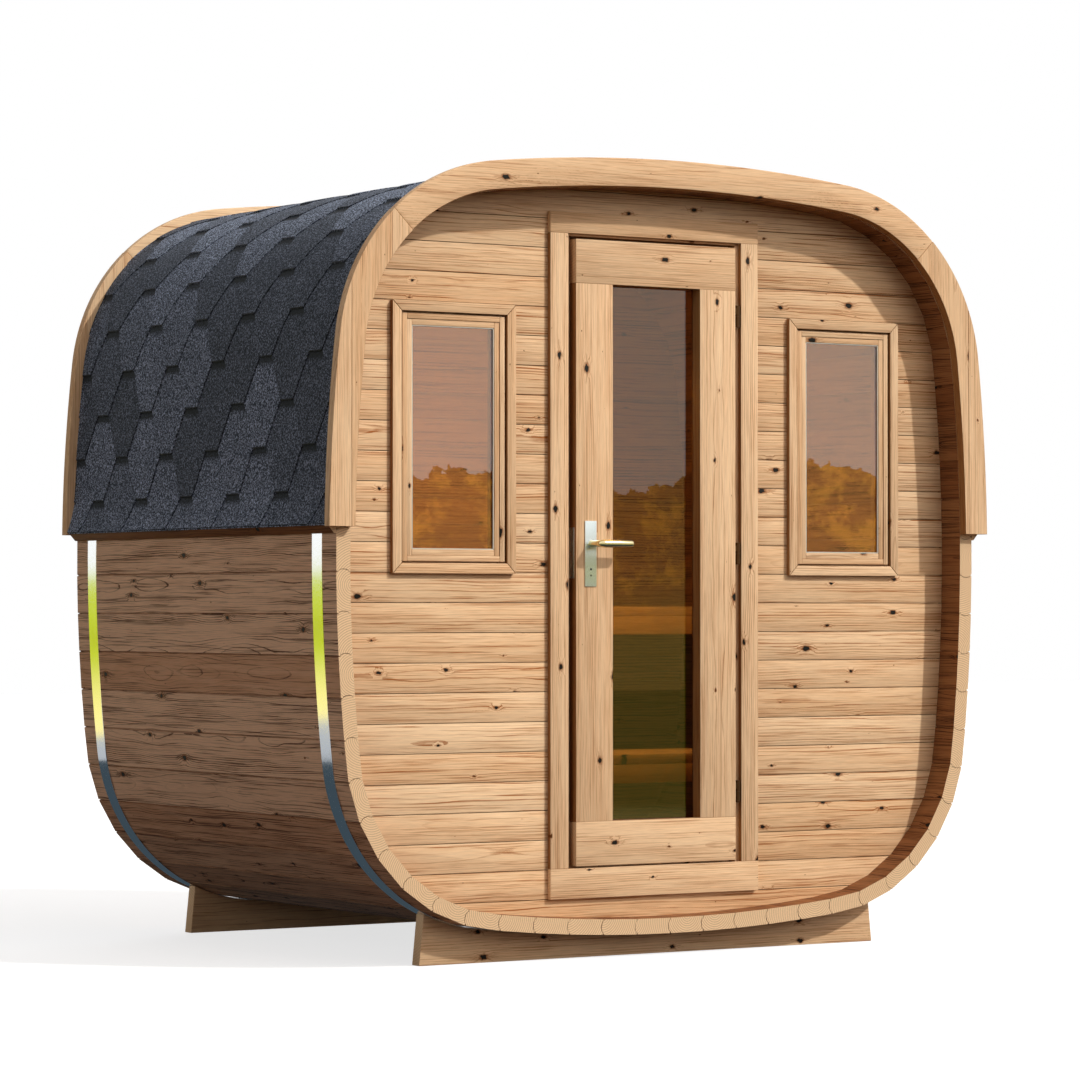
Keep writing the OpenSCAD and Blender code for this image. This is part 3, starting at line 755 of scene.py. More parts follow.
# The doorway, from inside one row of boards to the top of another
DOOR_Z0, DOOR_Z1 = 2.5 * BOARD_PITCH, 25 * BOARD_PITCH
front_holes = [(WINDOW_X0, WINDOW_X1, SASH_Z0, SASH_Z1), (-WINDOW_X1, -WINDOW_X0, SASH_Z0, SASH_Z1),
               (low("door_head")[0], high("door_head")[0], DOOR_Z0, DOOR_Z1)]
joinery("front_wall_boards", wall_boards("front_wall_left", front_holes), wall_spruce,
        ["front_wall_left", "front_wall_right", "front_wall_over_door", "front_wall_under_door"],
        slot="wall_wood", edge=1.6, seed=3, dark=("edges", "backs"))
joinery("rear_wall_boards", wall_boards("rear_wall", up=(0, 1, 0)), rear_spruce, ["rear_wall"],
        slot="wall_wood", edge=1.6, seed=4, dark=("edges", "backs"))

# ---- frames and trims

MITRE_GAP = 0.5 * MM


def mitred(x0, x1, z0, z1, width, y0, y1):
    """Four boards mitred round an opening, given by their outer sides."""
    g = MITRE_GAP
    a0, a1, b0, b1 = x0 + width, x1 - width, z0 + width, z1 - width
    return [
        board([(x0 + g, z0), (x1 - g, z0), (a1 - g, b0), (a0 + g, b0)], y0, y1, "X"),
        board([(a0 + g, b1), (a1 - g, b1), (x1 - g, z1), (x0 + g, z1)], y0, y1, "X"),
        board([(x0, z0 + g), (a0, b0 + g), (a0, b1 - g), (x0, z1 - g)], y0, y1, "Z"),
        board([(a1, b0 + g), (x1, z0 + g), (x1, z1 - g), (a1, b1 - g)], y0, y1, "Z")]


def stiles(x0, x1, z0, z1, width, y0, y1):
    """Two upright boards, given by their outer sides."""
    return [block(x0, x0 + width, z0, z1, y0, y1, "Z"), block(x1 - width, x1, z0, z1, y0, y1, "Z")]


def framed(x0, x1, z0, z1, width, y0, y1, gap=MITRE_GAP / 2):
    """Two full-height stiles with two rails between them, given by their outer sides."""
    a0, a1 = x0 + width + gap, x1 - width - gap
    return stiles(x0, x1, z0, z1, width, y0, y1) + [
        block(a0, a1, z0, z0 + width, y0, y1, "X"), block(a0, a1, z1 - width, z1, y0, y1, "X")]


def both_windows(near, far):
    """The x range of each window, between these distances from the middle."""
    return [(-far, -near), (near, far)]


TRIM_Y0, TRIM_Y1 = depth("window_trims")
_, TRIM_X1, TRIM_Z0, TRIM_Z1 = opening("window_trims")
TRIM_W = TRIM_X1 - WINDOW_X1
SASH_Y0, SASH_Y1 = depth("window_sashes")
PANE_Y = low("window_glass")[1]
SASH_RAIL, SASH_GAP = 20 * MM, 4.5 * MM
SEAL_W = 3 * MM
window_trims, sashes, seals = [], [], []
for x0, x1 in both_windows(WINDOW_X0 - TRIM_W, TRIM_X1):
    window_trims += mitred(x0, x1, TRIM_Z0, TRIM_Z1, TRIM_W, TRIM_Y0, TRIM_Y1)
for x0, x1 in both_windows(WINDOW_X0, WINDOW_X1):
    # A fixed frame, the sash in front of it with a gap all round, and the bead round the glass
    for edge, width, y0, y1 in (
            (0.0, SASH_RAIL, SASH_Y0 + 14 * MM, SASH_Y1),
            (SASH_GAP, SASH_RAIL - SASH_GAP, SASH_Y0, SASH_Y0 + 13.8 * MM),
            (SASH_RAIL, SASH_W - SASH_RAIL, SASH_Y0 + 2.5 * MM, SASH_Y1)):
        sashes += framed(x0 + edge, x1 - edge, SASH_Z0 + edge, SASH_Z1 - edge, width, y0, y1)
for x0, x1 in both_windows(WINDOW_X0 + SASH_W, WINDOW_X1 - SASH_W):
    seals += mitred(x0, x1, SASH_Z0 + SASH_W, SASH_Z1 - SASH_W, SEAL_W, PANE_Y - 4 * MM,
                    PANE_Y - 0.1 * MM)
joinery("window_seals", seals, seal_rubber, ["window_sashes"], edge=0.4, steps=1, seed=9)
joinery("window_trim_boards", window_trims, trim_spruce, ["window_trims"], edge=2.0, seed=5)
joinery("window_sash_bars", sashes, trim_spruce, ["window_sashes"], edge=1.5, seed=6)


def box_board(node, run, edge, seed, body="shell"):
    """One board as large as a node's box, in that node's place."""
    (x0, y0, z0), (x1, y1, z1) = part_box(node)
    joinery(node + "_board", [block(x0, x1, z0, z1, y0, y1, run)], trim_spruce, [node], edge=edge,
            seed=seed, body=body)


for node, run, edge, seed in (
        ("door_jamb_left", "Z", 1.5, 14), ("door_jamb_right", "Z", 1.5, 15),
        ("door_head", "X", 2.0, 16), ("door_sill", "X", 2.0, 16),
        ("door_trim_top", "X", 2.0, 20), ("door_trim_foot", "X", 2.0, 21)):
    box_board(node, run, edge, seed)

DOOR_TRIM_W = high("door_trim_top")[2] - low("door_trim_top")[2]
STOP_W = 15 * MM
joinery("door_trim_side_boards",
        stiles(*opening("door_trim_sides"), DOOR_TRIM_W, *depth("door_trim_sides")),
        trim_spruce, ["door_trim_sides"], edge=2.0, seed=17)
joinery("door_stop_strips",
        framed(*opening("door_stops"), STOP_W, *depth("door_stops"), gap=0),
        trim_spruce, ["door_stops"], edge=1.0, seed=18)

# The leaf
for node, run, seed in (("door_stile_left", "Z", 31), ("door_stile_right", "Z", 32),
                        ("door_rail_top", "X", 33), ("door_rail_foot", "X", 34)):
    box_board(node, run, 1.6, seed, "door")

# ---- roof edge

FASCIA_OUT = high("fascia_front_top")[2] - MID_Z - HALF_H
FASCIA_FOOT = low("fascia_front_left")[2]
MITRE_RISE = 20 * MM
MITRE_Z = MID_Z + CORNER_CZ + MITRE_RISE
ARCH_FINE = 8
# Vertical glue lines of the side boards, from the middle of the front
GLUE_LINES = (897 * MM, 1019 * MM)
GLUE_GAP = 0.25 * MM


def fascia_joints(out):
    """The joint numbers of the mitre and the foot of a fascia board, out beyond the staves."""
    def over_mitre(i):
        x, z = ring_point(i, out)
        return z - MITRE_Z < x - CORNER_CX
    return (joint_where(over_mitre, 2, 14),
            joint_where(lambda i: ring_point(i, out)[1] < FASCIA_FOOT, 10, 20))


def fascia_outline(top):
    """A fascia board's outline: the top one's, from mitre to mitre, or the right one's."""
    sides = []
    for out in (FASCIA_OUT, -STAVE_T):
        mitre, foot = fascia_joints(out)
        sides.append(ring_points(-mitre if top else mitre, mitre if top else foot, out, ARCH_FINE))
    return sides[0] + sides[1][::-1]


top_outline, side_outline = fascia_outline(True), fascia_outline(False)
side_parts = [clipped(clipped(side_outline, 0, x0 + GLUE_GAP, 1), 0, x1 - GLUE_GAP, -1)
              for x0, x1 in zip((0,) + GLUE_LINES, GLUE_LINES + (2 * HALF_W,))]
for end, seed in (("front", 40), ("rear", 45)):
    y0, y1 = depth(f"fascia_{end}_top")
    for place, word, shapes, run, edge, steps, lot in (
            ("top", "board", [top_outline], "X", 4.0, 3, 0),
            ("left", "boards", [mirrored(part) for part in side_parts], "Z", 0.8, 1, 1),
            ("right", "boards", side_parts, "Z", 0.8, 1, 3)):
        joinery(f"fascia_{end}_{place}_{word}", [board(shape, y0, y1, run) for shape in shapes],
                trim_spruce, [f"fascia_{end}_{place}"], edge=edge, steps=steps, seed=seed + lot,
                dark=("hollow",))

# ---- eaves and shingles

FILLET_X, _, FILLET_TOP = high("eaves_fillets")
FILLET_FOOT = low("eaves_fillets")[2]
EAVES_Z = low("shingle_roof")[2] + 6 * MM


def from_eaves(*points):
    """Points given in mm: out from the shell's side, and up from the eaves."""
    return [(HALF_W + x * MM, EAVES_Z + z * MM) for x, z in points]


# The fillet on the right: its foot, its sloped outer face, and back along the staves
fillet = ([(HALF_W + 7 * MM, FILLET_FOOT), (FILLET_X, EAVES_Z - 6 * MM),
           (FILLET_X, EAVES_Z - 2 * MM)] + from_eaves((10, 44))
          + [(HALF_W - 2.8 * MM, FILLET_TOP)]
          + [(x, z) for x, z in ring_points(14, 17, 0, 4)
             if FILLET_FOOT < z < FILLET_TOP - 3 * MM]
          + [(HALF_W - 0.6 * MM, FILLET_FOOT)])
joinery("eaves_fillet_boards",
        [board(mirrored(fillet, side), FRONT_Y, REAR_Y, "Y", (side * 0.7, 0, -0.7))
         for side in (-1, 1)],
        eaves_spruce, ["eaves_fillets"], slot="fillet_wood", edge=1.0, seed=50)

# One tab: its pitch along the roof, its half height, its bar, and the gap to the next
SHINGLE_PITCH = 270 * MM
SHINGLE_RISE = 123 * MM
TAB_BAR = 70 * MM
TAB_WIDE = (SHINGLE_PITCH - TAB_BAR) / 2
TAB_GAP = 3.4 * MM
# How far a tab's foot stands out, how much less its head does, in mm, and its underside
TAB_OUT, TAB_TAPER, TAB_UNDER = 6.0, 4.8, -1.0 * MM
SHINGLE_LIFT = 6.0 * MM
COLUMNS = 9
# The first row starts below the eaves' edge, and its first tab in front of the roof's edge
SHINGLE_START = -SHINGLE_RISE * 1.26
SHINGLE_FIRST = -884 * MM - SHINGLE_PITCH / 2
# The stave joint beside which the fillets end and the felt meets the staves
FELT_JOINT = joint_where(lambda i: ring_point(i, 0)[1] < FILLET_TOP, 10, 18)


def tab_mesh():
    """One hexagonal tab, laid flat: X is the way up the roof, Y along it, Z out. Its foot
    stands proud and its head lies under the tabs above."""
    steps = 10
    verts, faces, rise = [], [], []
    for k in range(steps + 1):
        share = k / steps
        wide = TAB_BAR / 2 + (TAB_WIDE - TAB_BAR / 2) * (1 - abs(2 * share - 1)) - TAB_GAP / 2
        top = (TAB_OUT - TAB_TAPER * share) * MM
        for column, out in ((-1, top), (-0.34, top), (0.34, top), (1, top), (-1, TAB_UNDER),
                            (1, TAB_UNDER)):
            verts.append((share * 2 * SHINGLE_RISE, column * wide, out))
            rise.append(share)
    for k in range(steps):
        a, b = 6 * k, 6 * (k + 1)
        faces += [(a + c, b + c, b + c + 1, a + c + 1) for c in range(3)]
        faces += [(a + 4, b + 4, b, a), (a + 3, b + 3, b + 5, a + 5), (a + 5, b + 5, b + 4, a + 4)]
    last = 6 * steps
    faces += [(0, 1, 2, 3, 5, 4), tuple(last + c for c in (4, 5, 3, 2, 1, 0))]
    mesh = new_mesh("shingle_tab", verts, faces)
    store(mesh, "rise", rise)
    return mesh


def shingle_tree():
    """Geometry nodes: rows of tabs, each row moved half a tab, bent over the arch line."""
    t, given = new_tree("lay_shingles", Geometry="Geometry", Tab="Object", Rows="Int",
                        Columns="Int", Rise="Float", Pitch="Float", Start="Float",
                        First="Float", Outward="Float", Roof_length="Float",
                        Material="Material", Seed="Int")
    arch = put(t, "GeometryNodeMeshToCurve", given["Geometry"])
    total = put(t, "Math MULTIPLY", given["Rows"], given["Columns"])
    points = put(t, "GeometryNodePoints", total)
    index = put(t, "GeometryNodeInputIndex")
    row = put(t, "Math FLOOR", put(t, "Math DIVIDE", index, given["Columns"]))
    column = put(t, "Math MODULO", index, given["Columns"])
    odd = put(t, "Math MODULO", row, 2.0)
    column = put(t, "Math MULTIPLY_ADD", odd, 0.5, column)
    place_y = put(t, "Math MULTIPLY_ADD", column, given["Pitch"], given["First"])
    place_x = put(t, "Math MULTIPLY_ADD", row, given["Rise"], given["Start"])
    place = put(t, "CombineXYZ", place_x, place_y)
    points = put(t, "GeometryNodeSetPosition", points, {"Position": place})
    tone = put(t, "FunctionNodeRandomValue", {"Seed": given["Seed"]}, data_type="FLOAT")
    points = put(t, "GeometryNodeStoreNamedAttribute", points,
                 {"Name": "tone", "Value": tone}, data_type="FLOAT", domain="POINT")
    tab = put(t, "GeometryNodeObjectInfo", given["Tab"]).outputs["Geometry"]
    laid = put(t, "GeometryNodeInstanceOnPoints", points, {"Instance": tab})
    laid = put(t, "GeometryNodeRealizeInstances", laid)
    # Each point's X is its way along the arch, Y its place along the roof and Z its height
    flat = put(t, "SeparateXYZ", put(t, "GeometryNodeInputPosition")).outputs
    on_arch = put(t, "GeometryNodeSampleCurve", {"Curves": arch, "Length": flat["X"]},
                  mode="LENGTH").outputs
    out = put(t, "VectorMath CROSS_PRODUCT", on_arch["Tangent"], (0, 1, 0))
    height = put(t, "Math MULTIPLY", flat["Z"], given["Outward"])
    out = put(t, "VectorMath SCALE", out, height)
    bent = put(t, "VectorMath ADD", on_arch["Position"], out)
    half = put(t, "Math MULTIPLY", given["Roof length"], 0.5)
    less = put(t, "Math MULTIPLY", half, -1.0)
    side = put(t, "Clamp", flat["Y"], less, half)
    bent = put(t, "VectorMath ADD", bent, put(t, "CombineXYZ", {"Y": side}))
    roof = put(t, "GeometryNodeSetPosition", laid, {"Position": bent})
    roof = put(t, "GeometryNodeMergeByDistance", roof, {"Distance": 0.02 * MM})
    roof = put(t, "GeometryNodeSetMaterial", roof, {"Material": given["Material"]})
    put(t, "NodeGroupOutput", roof)
    return t


SHINGLES = shingle_tree()


def lay_shingles(name, from_left):
    """One slope of the roof, laid from its eaves up to the ridge."""
    # The line that the shingles lie on, eaves to eaves, tipped out at both feet
    foot = from_eaves((27.5, -3), (19, 20), (12.5, 46), (7.6, 72))
    line = (mirrored(foot) + ring_points(-FELT_JOINT, FELT_JOINT, SHINGLE_LIFT, 6) + foot[::-1])
    if not from_left:
        line = mirrored(line)
    mesh = new_mesh(name + "_line", [(x, 0, z) for x, z in line], [],
                    [(k, k + 1) for k in range(len(line) - 1)])
    source = new_object(name + "_line", mesh)
    tab = new_object("shingle_tab", tab_mesh())
    laying = source.modifiers.new("lay", "NODES")
    laying.node_group = SHINGLES
    length = sum(math.dist(a, b) for a, b in zip(line, line[1:]))
    set_inputs(laying, Tab=tab, Rows=int(length / 2 / SHINGLE_RISE) + 2, Columns=COLUMNS,
               Rise=SHINGLE_RISE, Pitch=SHINGLE_PITCH, Start=SHINGLE_START, First=SHINGLE_FIRST,
               Material=roof_felt, Seed=60 + from_left, Outward=1.0 if from_left else -1.0,
               Roof_length=SHELL_LEN - 1 * MM)
    piece = baked(source, name)
    if not from_left:
        piece.data.flip_normals()
    bpy.data.objects.remove(tab)
    return piece


def starter_outline():
    """The skin of felt under the tabs, turned out over the fillets."""
    edge = from_eaves((28.4, -6), (28.2, -2), (14.4, 40), (8.0, 66))
    under = from_eaves((25.5, -6), (25.5, -2), (10.5, 44), (1, 80))
    outer = ring_points(-FELT_JOINT, FELT_JOINT, SHINGLE_LIFT - 1.5 * MM, 4)
    inner = ring_points(-FELT_JOINT, FELT_JOINT, 0.5 * MM, 4)
    return (mirrored(edge) + outer + edge[::-1] + under + inner[::-1] + mirrored(under[::-1]))


RIDGE_CAP = 190 * MM
# How far a cap reaches each side of the ridge, in staves
CAP_REACH = 1.15


def joined_rows(rows):
    """Vertices and faces of a bar made of equal rows of points, each a closed section."""
    n = len(rows[0])
    faces = [(k * n + c, k * n + (c + 1) % n, (k + 1) * n + (c + 1) % n, (k + 1) * n + c)
             for k in range(len(rows) - 1) for c in range(n)]
    faces += [tuple(range(n))[::-1], tuple((len(rows) - 1) * n + c for c in range(n))]
    return [p for row in rows for p in row], faces


def add_bar(verts, faces, rows):
    bar_verts, bar_faces = joined_rows(rows)
    faces += [tuple(len(verts) + c for c in face) for face in bar_faces]
    verts += bar_verts


def ridge_caps(name):
    """Caps bent over the ridge, each lapped by the next one forward."""
    count = round(SHELL_LEN / RIDGE_CAP)
    pitch = SHELL_LEN / count
    verts, faces, rise, tone = [], [], [], []
    foot = ring_points(-CAP_REACH, CAP_REACH, SHINGLE_LIFT, 6)[::-1]
    for lot, k in zip(np.random.default_rng(68).uniform(0, 1, count), range(count)):
        y0 = FRONT_Y + k * pitch + 0.5 * MM
        rows = []
        # rise 0 paints a cap's front edge black, and 0.93 paints the dark band of painted shadow at
        # its back
        for y, out, risen in ((y0, 7.5 * MM, 0.0), (y0 + pitch - 1 * MM, 5.5 * MM, 0.93)):
            top = ring_points(-CAP_REACH, CAP_REACH, SHINGLE_LIFT + out, 6)
            rows.append([(x, y, z) for x, z in top + foot])
            rise += [risen] * len(top + foot)
            tone += [lot] * len(top + foot)
        add_bar(verts, faces, rows)
    piece = closed_piece(name, verts, faces, roof_felt)
    store(piece.data, "rise", rise)
    store(piece.data, "tone", tone)
    return piece


for slope in (ridge_caps("shingle_ridge_caps"), lay_shingles("shingles_left", True),
              lay_shingles("shingles_right", False)):
    carried(slope, "shell", "roof_felt", "shingle_roof")
felt_under = joinery("shingle_starter_course", [board(starter_outline(), FRONT_Y, REAR_Y, "X")],
                     roof_felt, ["shingle_roof"], slot="roof_felt", edge=0, seed=66)
# Painted shadow: the felt higher than 75 mm over the eaves takes the tabs' dark band, lower felt
# keeps its grit
store(felt_under.data, "rise",
      [1.0 if v.co.z > EAVES_Z + 75 * MM else 0.4 for v in felt_under.data.vertices])

# ---- bands and cradles

BAND_TOP = high("steel_bands")[2]
BAND_W, BAND_T = 54 * MM, 1.6 * MM
BAND_LIP = 1.0 * MM
BAND_STEPS = 150


def band(name, y):
    """A thin flat steel strip round the belly, its edges rolled a little."""
    top = joint_where(lambda i: ring_point(i, 0)[1] < BAND_TOP, 10, 20)
    half = [(BAND_W / 2, 0.1 * MM), (BAND_W / 2, BAND_T - 0.8 * MM),
            (BAND_W / 2 - BAND_LIP, BAND_T)]
    rows = []
    for k in range(BAND_STEPS + 1):
        i = top + (2 * HALF_COUNT - 2 * top) * k / BAND_STEPS
        i = i - 2 * HALF_COUNT if i > HALF_COUNT else i
        rows.append([(ring_point(i, out)[0], y + across, ring_point(i, out)[1])
                     for across, out in mirrored(half) + half[::-1]])
    piece = closed_piece(name, *joined_rows(rows), band_steel, 20)
    carried(piece, "shell", "band_steel", "steel_bands")


band("steel_band_front", low("steel_bands")[1] + BAND_W / 2)
band("steel_band_rear", high("steel_bands")[1] - BAND_W / 2)

CRADLE_FOOT = 750 * MM
CRADLE_TIP = 14 * MM
# The belly rests this far off the staves, on the bands
CRADLE_LIE = 2.1 * MM
for node, seed in (("cradle_front", 70), ("cradle_rear", 73)):
    (_, y0, z0), (_, y1, _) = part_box(node)
    reach = joint_where(lambda i: ring_point(i, CRADLE_LIE)[0] < CRADLE_FOOT - CRADLE_TIP, 20, 33)
    under = ring_points(reach, HALF_COUNT, CRADLE_LIE, 4)
    outline = [(-CRADLE_FOOT, z0), (CRADLE_FOOT, z0)] + under + mirrored(under[::-1])[1:]
    joinery(node + "_board", [board(outline, y0, y1, "X")], trim_spruce, [node], edge=2.0,
            seed=seed, dark=())

# ---- benches

BENCH_T = 28 * MM
BENCH_FRONT_H = 82 * MM
BENCH_BOARD = 95 * MM
BENCH_GAP = 3 * MM
for node, seed in (("bench_upper", 80), ("bench_lower", 82)):
    # Boards laid along the shell with small gaps, and a front board under their edge
    (bx0, by0, _), (bx1, by1, bz1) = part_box(node)
    count = round((by1 - by0) / BENCH_BOARD)
    pitch = (by1 - by0) / count
    boards = [block(bx0, bx1, bz1 - BENCH_T, bz1, by0 + k * pitch + (BENCH_GAP if k else 0),
                    by0 + (k + 1) * pitch - (BENCH_GAP if k < count - 1 else 0), "X", (0, 0, 1))
              for k in range(count)]
    boards.append(block(bx0, bx1, bz1 - BENCH_FRONT_H, bz1 - BENCH_T, by0 + 0.5 * MM,
                        by0 + BENCH_T, "X"))
    joinery(node + "_boards", boards, bench_aspen, [node], slot="bench_wood", edge=2.0,
            seed=seed, dark=("backs",))

# ---- glass and steel fittings

for node, finish in (("window_glass", window_tint), ("door_glass", door_tint),
                     ("hinge_pins", hinge_bronze), ("hinge_caps", hinge_bronze)):
    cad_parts[node].data.materials.clear()
    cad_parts[node].data.materials.append(finish)

(_, PLATE_Y0, plate_z0), (_, PLATE_Y1, plate_z1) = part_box("door_plates")
(leaf_x0, LEAF_Y0, _), (_, LEAF_Y1, _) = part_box("door_stile_left")
PLATE_X0, PLATE_X1 = -237.5 * MM, -200.5 * MM
LEVER_X, LEVER_Z = (PLATE_X0 + PLATE_X1) / 2, 1120 * MM
# The two plates, and the lock's steel edge in the side of the leaf
plates = [block(PLATE_X0, PLATE_X1, plate_z0, plate_z1, PLATE_Y0, LEAF_Y0, "Z"),
          block(PLATE_X0, PLATE_X1, plate_z0, plate_z1, LEAF_Y1, PLATE_Y1, "Z"),
          block(leaf_x0 - 0.4 * MM, leaf_x0 + 1 * MM, 1026 * MM, 1164 * MM, LEAF_Y0 + 10 * MM,
                LEAF_Y1 - 10 * MM, "Z")]
joinery("door_plates_and_forend", plates, satin_steel, ["door_plates"], body="door",
        slot="fitting_steel", edge=1.3, steps=3, seed=90)


def turned(points, radii, sides=28):
    """Rows of points of a round bar that follows the points, of a radius for each."""
    rows = []
    points = [np.array(p, float) for p in points]
    side = None
    for k, point in enumerate(points):
        way = points[min(k + 1, len(points) - 1)] - points[max(k - 1, 0)]
        way = way / np.linalg.norm(way)
        side = np.cross(way, (0, 0, 1)) if side is None else side
        side = side - way * (side @ way)
        side = side / np.linalg.norm(side)
        other = np.cross(way, side)
        rows.append([tuple(point + radii[k] * (math.cos(a) * side + math.sin(a) * other))
                     for a in (math.tau * n / sides for n in range(sides))])
    return rows


def turned_piece(name, bars, material, body, node):
    """One piece of several turned bars."""
    verts, faces = [], []
    for points, radii in bars:
        add_bar(verts, faces, turned(points, radii))
    piece = closed_piece(name, verts, faces, material, 40)
    carried(piece, body, "fitting_steel", node)


# Where a lever ends, the radius of its bend and the length of its rounded end
LEVER_TIP, LEVER_BEND, LEVER_END = -112 * MM, 11 * MM, 9 * MM
# In mm: the radius of its neck, how much that grows round the bend, of its bar and of its end
NECK_R, BEND_GROWS, BAR_R, END_R = 9.0, 2.2, 10.2, 10.0


def lever_bar(face_y, out, bar_y):
    """A lever: its neck out of the plate, a tight bend, and a bar with a rounded end."""
    points = [(LEVER_X, face_y + out * 0.2 * MM, LEVER_Z),
              (LEVER_X, bar_y - out * LEVER_BEND, LEVER_Z)]
    radii = [NECK_R * MM] * 2
    quarter = [math.pi / 2 * k / 8 for k in range(9)]
    for k, a in list(enumerate(quarter))[1:]:
        points.append((LEVER_X + LEVER_BEND * (1 - math.cos(a)),
                       bar_y - out * LEVER_BEND * (1 - math.sin(a)), LEVER_Z))
        radii.append((NECK_R + BEND_GROWS * k / 8) * MM)
    points.append((LEVER_TIP - 24 * MM, bar_y, LEVER_Z))
    radii.append(BAR_R * MM)
    for a in quarter:
        points.append((LEVER_TIP - LEVER_END + LEVER_END * math.sin(a), bar_y, LEVER_Z))
        radii.append(max(END_R * MM * math.cos(a), 0.3 * MM))
    return points, radii


def stepped(face_y, out, z, steps):
    """A low round boss on a plate: each step is its height and its radius, in mm."""
    return ([(LEVER_X, face_y + out * y * MM, z) for y, _ in steps], [r * MM for _, r in steps])


lever_y0, lever_y1 = depth("door_levers")
turned_piece("door_lever_pair", [lever_bar(PLATE_Y0 - 0.4 * MM, -1, lever_y0 + 10 * MM),
                                 lever_bar(PLATE_Y1 + 0.4 * MM, 1, lever_y1 - 10 * MM)],
             polished_brass, "lever", "door_levers")
# The low collar that each lever's neck stands in, and two screw heads under the outer lever
COLLAR = ((0.0, 12.5), (2.2, 12.5), (3.4, 11.4), (3.5, 8.8))
turned_piece("lever_rosettes", [stepped(PLATE_Y0, -1, LEVER_Z, COLLAR),
                                stepped(PLATE_Y1, 1, LEVER_Z, COLLAR)],
             satin_steel, "door", "door_plates")
# The screw heads' dark colour is painted shade for their recesses
turned_piece("plate_screw_heads",
             [stepped(PLATE_Y0, -1, z * MM, ((-0.2, r), (0.5, r), (0.8, r - 0.5)))
              for z, r in ((1051, 3.0), (1034, 2.4))], dark_screw, "door", "door_plates")

# ---- camera, light and floor

# The lens in mm, where the camera stands in metres and how it is turned in degrees
LENS, CAMERA_AT, CAMERA_TURN = 133.62, (-6.217, -9.761, 0.945), (90.976, 0, -32.754)
camera = bpy.data.cameras.new("camera")
camera.lens = LENS
camera.sensor_width = 36
camera.clip_end = 100
stand = new_object("camera", camera)
stand.location = CAMERA_AT
stand.rotation_euler = [math.radians(angle) for angle in CAMERA_TURN]
bpy.context.scene.camera = stand


def lamp(name, kind, strength, colour, shiny, **settings):
    """Adds a lamp. One that isn't shiny shows in no reflection."""
    light = bpy.data.lights.new(name, kind)
    light.energy = strength
    light.color = paint(colour)[:3]
    for key, value in settings.items():
        setattr(light, key, value)
    holder = new_object(name, light)
    holder.visible_glossy = shiny
    return holder


# The sun; soft light around it, which fades under the rim and the trims; light that comes back
# off the ground on the left; and light from behind
for name, towards, strength, degrees, colour, shiny in (
        ("key", (0.745, -1.0, 1.02), 2.0, 2.0, "#FFF6EA", True),
        ("soft_key", (0.70, -1.0, 0.95), 1.75, 80.0, "#FFF2E4", False),
        ("left_fill", (-1.0, -0.25, 0.2), 0.50, 50.0, "#FFF5EA", False),
        ("back_fill", (0.75, 1.0, 0.35), 1.3, 40.0, "#FFFFFF", False)):
    holder = lamp(name, "SUN", strength, colour, shiny, angle=math.radians(degrees))
    holder.rotation_euler = mathutils.Vector(towards).to_track_quat("Z", "Y").to_euler()

# The soft lamp inside, over the door, that lights the benches and the rear wall
holder = lamp("inside_lamp", "AREA", 16, "#FFF8F0", False, shape="RECTANGLE", size=0.9,
              size_y=0.2)
holder.location = (-0.15, -0.46, 1.80)
holder.rotation_euler = (math.radians(38), 0, 0)
holder.visible_camera = False


def seen_by_eye(tree):
    """1 for what the eye sees, straight, in gloss or through glass, and 0 for soft light."""
    ray = put(tree, "LightPath").outputs
    seen = put(tree, "Math MAXIMUM", ray["Is Camera Ray"], ray["Is Glossy Ray"])
    return put(tree, "Math MAXIMUM", seen, ray["Is Transmission Ray"])


world = bpy.data.worlds.new("studio")
bpy.context.scene.world = world
world.use_nodes = True
w = world.node_tree
w.nodes.clear()
dim = put(w, "Background", "#FFF0E4", 0.17)
bright = put(w, "Background", "#FFFFFF", 1.0)
put(w, "OutputWorld", put(w, "MixShader", seen_by_eye(w), dim, bright))


def floor_cover():
    """A pale matt floor: white to the eye, with the part's shadow, and brown to soft light, as
    dry ground would be."""
    material, t = blank_material("pale_floor")
    matt = put(t, "BsdfDiffuse", "#B4B8BE")
    glow = put(t, "Emission", "#FFFFFF", 0.72)
    white = put(t, "AddShader", matt, glow)
    dull = put(t, "BsdfDiffuse", "#42280E")
    put(t, "OutputMaterial", put(t, "MixShader", seen_by_eye(t), dull, white))
    return material


# The garden card, in metres from the middle: its flat rings and its upright one, the reach of
# the pale and the dark paving, and how high the shrubs' crowns stand
CARD_Z, CARD_TOP, SHRUBS_R = 0.004, 4.0, 16.0
CARD_RINGS = (((0.02, CARD_Z), (3.2, CARD_Z)), ((3.2, CARD_Z), (15.9, CARD_Z)),
              ((15.9, CARD_Z), (400.0, CARD_Z)), ((SHRUBS_R, CARD_Z), (SHRUBS_R, CARD_TOP)))
PAVING = ((5.7, "#A4A8AD"), (3.75, "#344048"))
CROWN_RISE, CROWN_DROP = 1.5, -0.48


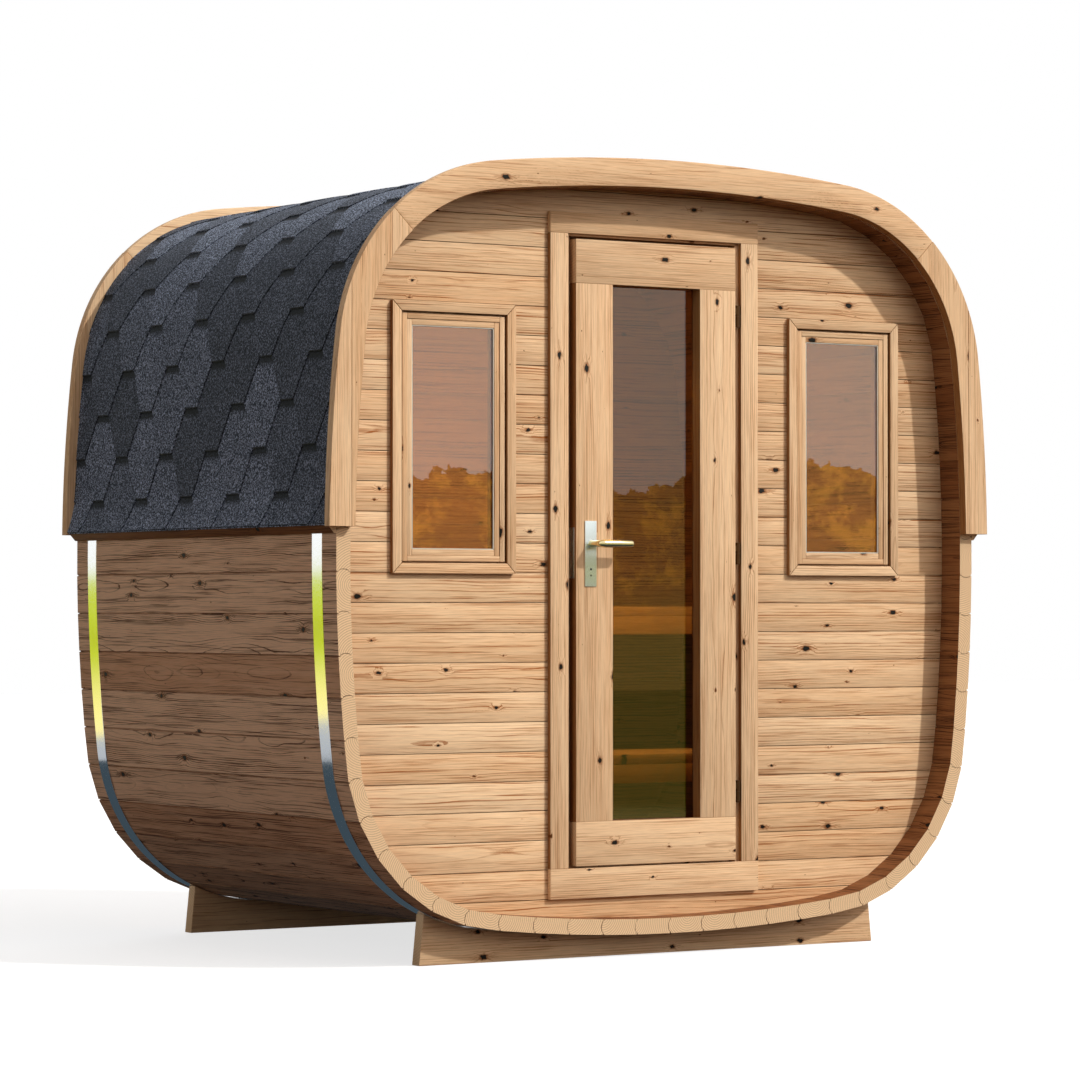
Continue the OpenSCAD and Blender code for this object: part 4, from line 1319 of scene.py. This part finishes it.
def garden_card():
    """A round card that only gloss sees: paving, lawn and low golden shrubs under a white
    sky, for the glass and the bright steel to mirror."""
    count = 96
    verts, faces = [], []
    for ring in CARD_RINGS:
        start = len(verts)
        verts += [(r * math.cos(math.tau * k / count), r * math.sin(math.tau * k / count), z)
                  for r, z in ring for k in range(count)]
        faces += [(start + k, start + (k + 1) % count, start + count + (k + 1) % count,
                   start + count + k) for k in range(count)]
    mesh = new_mesh("garden_card", verts, faces)
    material, t = blank_material("painted_garden_card")
    place = put(t, "TexCoord").outputs["Object"]
    where = put(t, "SeparateXYZ", place).outputs
    leaves = put(t, "MapRange", put(t, "TexNoise", place, 4.5, 5.0, 0.75), 0.47, 0.62)
    crowns = put(t, "TexNoise", place, 0.5, 9.0, 0.66)
    # Shrubs stand in front, towards -Y, and the lawn runs open to the sky at the back
    front = put(t, "MapRange", where["Y"], 2.0, -4.0)
    tall = put(t, "Math MULTIPLY_ADD", front, CROWN_RISE, CROWN_DROP)
    tall = put(t, "Math MULTIPLY_ADD", crowns, CROWN_RISE, tall)
    over = put(t, "Math GREATER_THAN", where["Z"], tall)
    height = put(t, "MapRange", where["Z"], 0.75, 1.15)
    hedge = put(t, "Mix", leaves, "#060400", "#F0A82C", **RGBA)
    hedge = put(t, "Mix", height, "#6C7000", hedge, **RGBA)
    hedge = put(t, "Mix", front, "#A9B222", hedge, **RGBA)
    far = put(t, "VectorMath LENGTH", put(t, "VectorMath MULTIPLY", place, (1, 1, 0)))
    lawn = put(t, "Mix", put(t, "MapRange", far, 5.7, 13.0), "#FBE994", "#B4C02A", **RGBA)
    shaded = put(t, "Math MULTIPLY", put(t, "MapRange", far, 6.5, 9.0), front)
    lawn = put(t, "Mix", shaded, lawn, "#727800", **RGBA)
    for reach, slab in PAVING:
        lawn = put(t, "Mix", put(t, "Math LESS_THAN", far, reach), lawn, slab, **RGBA)
    # The lawn runs out flat beyond the shrubs, and only their own ring is cut by the sky
    upright = put(t, "Math COMPARE", far, SHRUBS_R)
    over = put(t, "Math MULTIPLY", over, upright)
    shown = put(t, "Mix", upright, lawn, hedge, **RGBA)
    glow = put(t, "Emission", shown, 1.25)
    put(t, "OutputMaterial", put(t, "MixShader", over, glow, put(t, "BsdfTransparent")))
    mesh.materials.append(material)
    card = new_object("garden_card", mesh)
    for seen_by in ("camera", "diffuse", "transmission", "volume_scatter", "shadow"):
        setattr(card, "visible_" + seen_by, False)


garden_card()

FLOOR_HALF, FLOOR_Z = 30, -0.0005
corners = [(x * FLOOR_HALF, y * FLOOR_HALF, FLOOR_Z)
           for x, y in ((-1, -1), (1, -1), (1, 1), (-1, 1))]
floor_mesh = new_mesh("floor", corners, [(0, 1, 2, 3)])
floor_mesh.materials.append(floor_cover())
new_object("floor", floor_mesh)

bpy.context.scene.view_settings.view_transform = "Standard"
